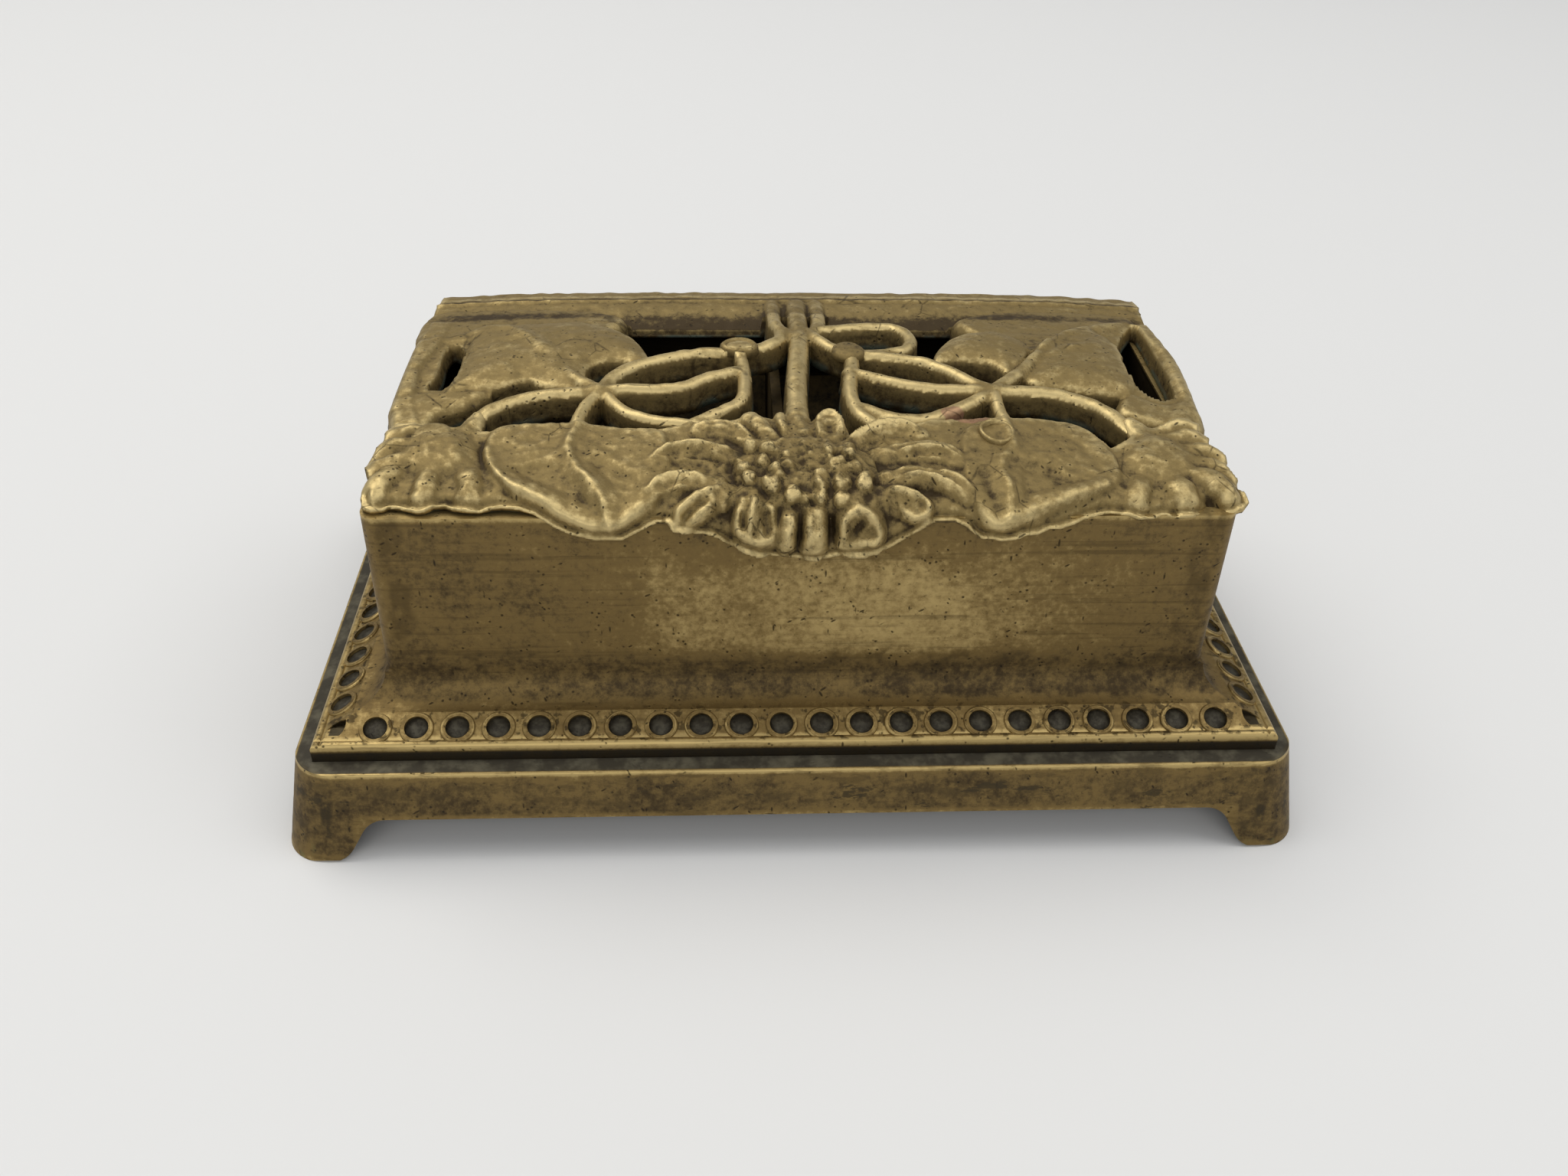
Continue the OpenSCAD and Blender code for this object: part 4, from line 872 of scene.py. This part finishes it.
# The corner flowers: a swelling hub and fat rolled petals
for line, width, rise in (
        ([(-35.6, 38.2), (-36.9, 40.4), (-37.2, 42.4)], 2.6, 1.2),
        ([(-32.7, 38.8), (-32.8, 41.0), (-33.0, 42.9)], 2.5, 1.1),
        ([(-29.6, 38.8), (-29.0, 40.9), (-29.1, 42.8)], 2.5, 1.0),
        ([(-34.0, 37.2), (-36.2, 37.6), (-37.9, 38.6)], 2.4, 1.1),
        ([(-34.5, 34.9), (-36.4, 34.9), (-37.2, 35.3)], 2.2, 1.0),
        ([(-33.6, 33.0), (-35.4, 32.9), (-36.8, 33.0)], 1.9, 0.9),
        ([(30.0, 40.6), (29.2, 42.6), (28.9, 43.8)], 2.4, 1.0),
        ([(32.8, 40.4), (33.3, 42.0), (33.1, 43.6)], 3.2, 1.25),
        ([(34.6, 39.2), (36.6, 40.6), (37.8, 42.4)], [(0, 2.4), (0.6, 3.4), (1, 2.6)], 1.3),
        ([(35.6, 37.6), (37.3, 38.4), (38.3, 39.8)], 2.0, 1.1),
        ([(35.0, 36.0), (36.8, 35.9), (38.2, 36.6)], 2.0, 1.0),
        ([(34.2, 34.2), (35.9, 33.7), (37.3, 34.2)], 1.9, 0.9),
        ([(33.8, 32.2), (35.6, 31.7), (37.0, 32.0)], 1.7, 0.8)):
    front.bulb(line, width, rise)
front.shaped([(-36.0, 35.4), (-34.6, 33.2), (-32.4, 32.9), (-30.0, 33.8), (-28.9, 36.0), (-29.4, 38.6),
              (-31.6, 39.8), (-34.2, 39.2), (-35.8, 37.6)], 1.15, 2.4, soft=0.5)
front.shaped([(28.9, 38.0), (29.8, 35.4), (32.2, 33.8), (34.6, 34.6), (35.8, 36.8), (35.4, 39.4), (32.6, 40.6),
              (30.0, 40.2)], 1.2, 2.4, soft=0.5)
front.ridge([(35.9, 42.6), (36.0, 43.8)], 1.3, -0.9, 1.0, 1.0)
front.ridge([(32.3, 43.0), (32.4, 43.9)], 0.9, -0.4, 0.6, 1.0)
front.ridge([(-28.5, 34.6), (-28.6, 36.4), (-28.1, 38.3), (-27.3, 39.9), (-26.2, 41.4), (-25.2, 42.6)], 0.5,
            -0.4, 0.4, 0.5)
# The sunflower: looped petals behind and beside a rough disc, fat rolled ones in front of it
for line, width, rise in (
        ([(-13.3, 38.0), (-12.2, 37.3), (-10.8, 36.9), (-9.2, 36.9), (-7.6, 37.3), (-6.2, 37.8)], 1.9, 0.75),
        ([(-13.5, 42.1), (-12.4, 41.5), (-11.0, 41.1), (-9.4, 41.2), (-7.8, 41.2)], 1.9, 0.8),
        ([(-11.0, 44.8), (-9.9, 44.0), (-8.6, 43.2), (-7.0, 42.6)], 2.7, 1.0),
        ([(-9.2, 33.9), (-7.8, 33.7), (-6.2, 34.2), (-4.6, 35.8)], 2.0, 0.7),
        ([(-4.5, 31.9), (-3.9, 32.9), (-3.2, 34.3), (-2.6, 35.8)], 1.9, 0.75),
        ([(-1.9, 31.4), (-1.7, 32.8), (-1.3, 34.6)], 1.1, 0.6),
        ([(2.8, 32.0), (2.7, 33.4), (2.6, 35.2)], 2.7, 0.75),
        ([(4.4, 36.0), (5.8, 34.7), (7.6, 33.8), (9.4, 33.8), (10.8, 34.5)], 1.9, 0.75),
        ([(7.0, 37.6), (8.6, 37.5), (10.8, 37.2), (12.8, 37.6), (13.8, 38.2)], 2.3, 0.75),
        ([(7.4, 40.8), (10.2, 40.9), (12.4, 41.4), (14.2, 42.4)], 2.3, 0.85),
        ([(6.6, 42.9), (8.4, 43.3), (9.8, 43.9)], 2.7, 0.95),
        ([(-4.2, 43.0), (-4.4, 44.6), (-4.3, 45.8)], 4.1, 1.5),
        ([(-1.4, 43.9), (-1.6, 45.4), (-1.8, 46.7)], 1.9, 1.4),
        ([(0.8, 43.8), (0.7, 45.4), (0.6, 46.9)], 2.5, 1.6),
        ([(4.4, 43.2), (4.6, 44.8), (4.7, 45.9)], 4.6, 1.5)):
    front.bulb(line, width, rise, 0.4, 0.12)
for line, width, rise in (
        ([(-13.4, 38.1), (-12.4, 37.2), (-11.0, 36.5), (-9.4, 36.4), (-7.9, 36.8), (-6.6, 37.1)], 0.6, 0.3),
        ([(-12.8, 38.3), (-11.4, 38.2), (-9.6, 38.1), (-7.9, 38.4)], 0.5, 0.2),
        ([(-11.8, 37.6), (-10.2, 37.4), (-8.6, 37.6)], 0.6, -0.22),
        ([(-13.6, 42.2), (-12.8, 41.2), (-11.6, 40.5), (-10.4, 40.4), (-9.0, 40.7)], 0.6, 0.3),
        ([(-12.6, 42.3), (-11.4, 41.6), (-9.4, 41.6)], 0.5, -0.2),
        ([(-13, 42.6), (-11.7, 42.3), (-10.0, 41.8)], 0.5, 0.2),
        ([(-11.3, 44.8), (-11.0, 44.0), (-10.2, 43.3), (-9.1, 42.6), (-7.6, 42.1)], 0.6, 0.32),
        ([(-10.7, 44.8), (-9.9, 44.0), (-8.6, 43.3)], 0.5, -0.32),
        ([(-10.0, 45.0), (-9.2, 44.3), (-8.0, 43.6)], 0.7, 0.25),
        ([(-9.6, 33.3), (-8.1, 32.8), (-6.5, 33.2), (-5.2, 34.5), (-4.3, 36.0)], 0.55, 0.28),
        ([(-8.8, 34.3), (-7.2, 34.4), (-5.9, 35.1)], 0.5, -0.2),
        ([(1.5, 34.6), (1.4, 33.0), (2.0, 31.8), (3.0, 31.5), (3.7, 32.5), (3.8, 34.2)], 0.6, 0.3),
        ([(2.6, 33.2), (2.6, 34.6)], 1.0, -0.5),
        ([(4.1, 35.8), (5.5, 34.3), (7.2, 33.3), (9.1, 33.1), (10.5, 33.8)], 0.6, 0.3),
        ([(5.7, 35.2), (8.1, 34.2), (10.0, 34.6)], 0.5, -0.2),
        ([(7.4, 36.8), (10.8, 36.3), (13.0, 36.8), (14.0, 37.6)], 0.5, 0.25),
        ([(8.8, 37.5), (10.7, 36.9), (12.6, 37.2), (13.6, 38.0)], 0.45, 0.2),
        ([(9, 38.0), (11, 37.7), (12.8, 38.0)], 0.6, -0.25),
        ([(8.1, 40.0), (10.3, 39.8), (12.5, 40.4), (13.7, 41.3), (14.5, 42.2)], 0.6, 0.3),
        ([(8.3, 41.0), (10.2, 40.8), (12.0, 41.5), (13.3, 42.3)], 0.45, 0.22),
        ([(9.4, 41.9), (11.4, 42.0)], 0.8, -0.25),
        ([(7.2, 42.4), (8.6, 42.5), (10.0, 43.0), (10.6, 43.7), (10.3, 44.4), (9.3, 44.6), (8.5, 44.3)], 0.6,
         0.42),
        ([(7.0, 43.8), (8.0, 43.6)], 1.6, -0.45),
        ([(-5.5, 43.4), (-6.1, 44.4), (-6.2, 45.2), (-5.5, 45.8), (-4.5, 46.1), (-3.4, 46.1), (-2.6, 45.6)],
         0.7, 0.35),
        ([(-4.5, 43.4), (-4.8, 44.4), (-4.9, 45.6)], 0.6, 0.28), ([(-5.5, 44.4), (-5.4, 45.2)], 0.5, -0.4),
        ([(-3.6, 44.0), (-3.5, 45.2)], 1.0, -0.45), ([(-0.5, 44.8), (-0.6, 46.2)], 0.6, -0.45),
        ([(2.1, 44.2), (2.2, 46.0)], 0.7, -0.5), ([(4.2, 45.0), (4.7, 45.5)], 1.5, -0.75),
        ([(2.9, 45.8), (3.1, 44.9), (3.9, 44.3), (4.8, 44.2), (5.7, 44.6), (6.3, 45.5), (6.0, 46.2),
          (4.8, 46.3)], 0.7, 0.4)):
    front.ridge(line, width * 1.05, rise * 1.35, 0.5, 0.5)
disc = np.hypot((front.x - 0.1) / 6.4, (front.s - 39.8) / 4.7)
front.raise_to(np.where(disc < 1, 0.5 + 0.95 * (1 - disc ** 4).clip(0) ** 0.6
                        - 0.3 * np.exp(-(np.hypot((front.x - 0.1) / 1.9, (front.s - 39.9) / 1.3)) ** 4), -9),
               0.2)
for x, s, r in ((-3.7, 39.5, 0.62), (-2.6, 40.9, 0.75), (-4.9, 41.4, 0.55), (-3.0, 42.1, 0.65),
                (-1.2, 42.9, 0.6), (1.1, 43.0, 0.6), (1.3, 41.7, 0.75), (3.1, 41.9, 0.75), (2.9, 40.1, 0.75),
                (4.3, 40.1, 0.6), (5.0, 42.0, 0.65), (3.0, 43.2, 0.6), (2.3, 38.0, 0.6), (-3.2, 37.8, 0.6),
                (-4.7, 37.5, 0.5), (3.9, 38.6, 0.55), (-5.4, 40.2, 0.5)):
    front.knob(x, s, r * 1.2, 0.6, 1.4)
front.crust = (1.25 - np.hypot((front.x - 0.1) / 13, (front.s - 40) / 9)).clip(0.15, 1)
# A thin lip runs along the lower edge, with a hollow above it that the relief tone darkens with dirt and
# painted shade
low_edge = (front.s > 41.5) & (front.metal > 0)
front.top = (front.top - np.where(low_edge, 0.4 * np.exp(-((front.metal - 0.55) / 0.28) ** 2), 0)
             + cast_skin(front, 0.07))


def lid_wear_and_shade(p, x, y, z):
    # rail brightens the rear edge and the rail; cove paints shade in front of the rail and down the cove to the
    # rear openings
    rail = y.step(22.9, 23.4) * 0.25 + y.step(20.6, 20.9) * y.step(21.7, 21.3) * 0.3
    cove = y.step(20.55, 20.35) * y.step(19.9, 20.2) * 0.4 + y.step(17.8, 15.6) * y.step(14.2, 15.2) * 0.35
    return p.node("ShaderNodeAttribute", {"attribute_name": "wear_and_painted_light"}, out=2) + rail - cove


def lid_stain(p, x, y, z, colour, noise):
    deep = p.node("ShaderNodeAttribute", {"attribute_name": "deep"}, out=2)
    colour = (deep.step(0.5, 1.0) * noise(300, 3.0).step(0.42, 0.6) * 0.85).tint(colour, brown(92, 106, 96))
    # A bare coppery patch between the sunflower and the right leaf
    patch = (((x - 15.6) * 0.42) ** 2.0 + ((y + 8.2) * 0.75 + (x - 15.6) * 0.2) ** 2.0
             + (noise(700, 3.0) - 0.5) * 0.9)
    colour = (patch.step(1.0, 0.7) * 0.75).tint(colour, brown(158, 118, 94))
    # Crazed lines in the leaves
    crazed = p.node("ShaderNodeTexVoronoi", {"feature": "DISTANCE_TO_EDGE"}, {"Vector": p, "Scale": 300.0})
    crazed = crazed.step(0.03, 0.008) * noise(130, 2.0).step(0.52, 0.6) * noise(520, 2.0).step(0.4, 0.55)
    return (crazed * 0.6).tint(colour, brown(56, 45, 27))


def lid_crust(p):
    return p.node("ShaderNodeAttribute", {"attribute_name": "crust"}, out=2)


lid_brass = aged_brass("lid_brass_aged_painted_shade", lid_wear_and_shade, rough=lid_crust, mid=brown(134, 115, 73),
                       bright=brown(196, 175, 124),
                       extra=lid_stain, smooth=0.44, cast=0.00016)
lid_openwork = openwork.piece("lid_openwork", 2.4)
lid_openwork.data.materials.append(lid_brass)
lid_front = front.piece("lid_front", 0.75, flare=0.0, rows=2)
lid_front.data.materials.append(lid_brass)
for made in (lid_openwork, lid_front):
    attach(made, "lid")
    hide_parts("lid")

# Where blowholes of the casting were plugged: a lipped crater, a flat cap, a flush cap on the left
# flower and an open-topped ring with a sunk floor on the right leaf
plug_points, plug_faces, plug_worn = [], [], []
for x, s, squash, profile in (
        (-5.3, 18.1, 0.9, [(0, 0.35), (0.75, 0.3), (1.15, 0.6), (1.5, 0.85), (1.8, 0.6), (1.95, -0.1),
                           (1.2, -0.45)]),
        (5.5, 18.9, 1.0, [(0, 0.75), (1.3, 0.72), (1.65, 0.5), (1.8, -0.1), (1.2, -0.45)]),
        (-33.2, 34.3, 1.0, [(0, 0.98), (1.5, 0.95), (1.85, 0.8), (1.9, 0.1), (1.2, -0.45)]),
        (17.8, 34.6, 1.0, [(0, 0.62), (1.28, 0.58), (1.36, 1.1), (1.52, 1.2), (1.7, 1.05), (1.76, 0.1),
                           (1.2, -0.45)])):
    first, n = len(plug_points), 28
    for r, h in profile[1:]:
        for k in range(n):
            a = 2 * math.pi * k / n
            wobble = 1 + 0.05 * math.sin(2 * a + x) + 0.03 * math.sin(3 * a + s)
            plug_points.append(on_lid(np.array(x + r * wobble * math.cos(a)),
                                      np.array(s + r * wobble * squash * math.sin(a)), h).tolist())
            plug_worn.append(0.75 if 1.3 < r and h > 0.7 else 0.4)
    rings = len(profile) - 1
    for j in range(rings - 1):
        for k in range(n):
            a, b = first + j * n + k, first + j * n + (k + 1) % n
            plug_faces.append([a, a + n, b + n, b])
    plug_faces.append([first + k for k in range(n)])
    plug_faces.append([first + (rings - 1) * n + k for k in range(n - 1, -1, -1)])
plug_mesh = bpy.data.meshes.new("plug_caps")
plug_mesh.from_pydata([[c * MM for c in q] for q in plug_points], [], [f[::-1] for f in plug_faces])
plug_mesh.attributes.new("wear_and_painted_light", "FLOAT", "POINT").data.foreach_set("value", plug_worn)
plug_mesh.polygons.foreach_set("use_smooth", np.ones(len(plug_faces), bool))
plug_mesh.materials.append(lid_brass)
plug_caps = bpy.data.objects.new("plug_caps", plug_mesh)
scene.collection.objects.link(plug_caps)
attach(plug_caps, "lid")
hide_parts("lid_plugs")
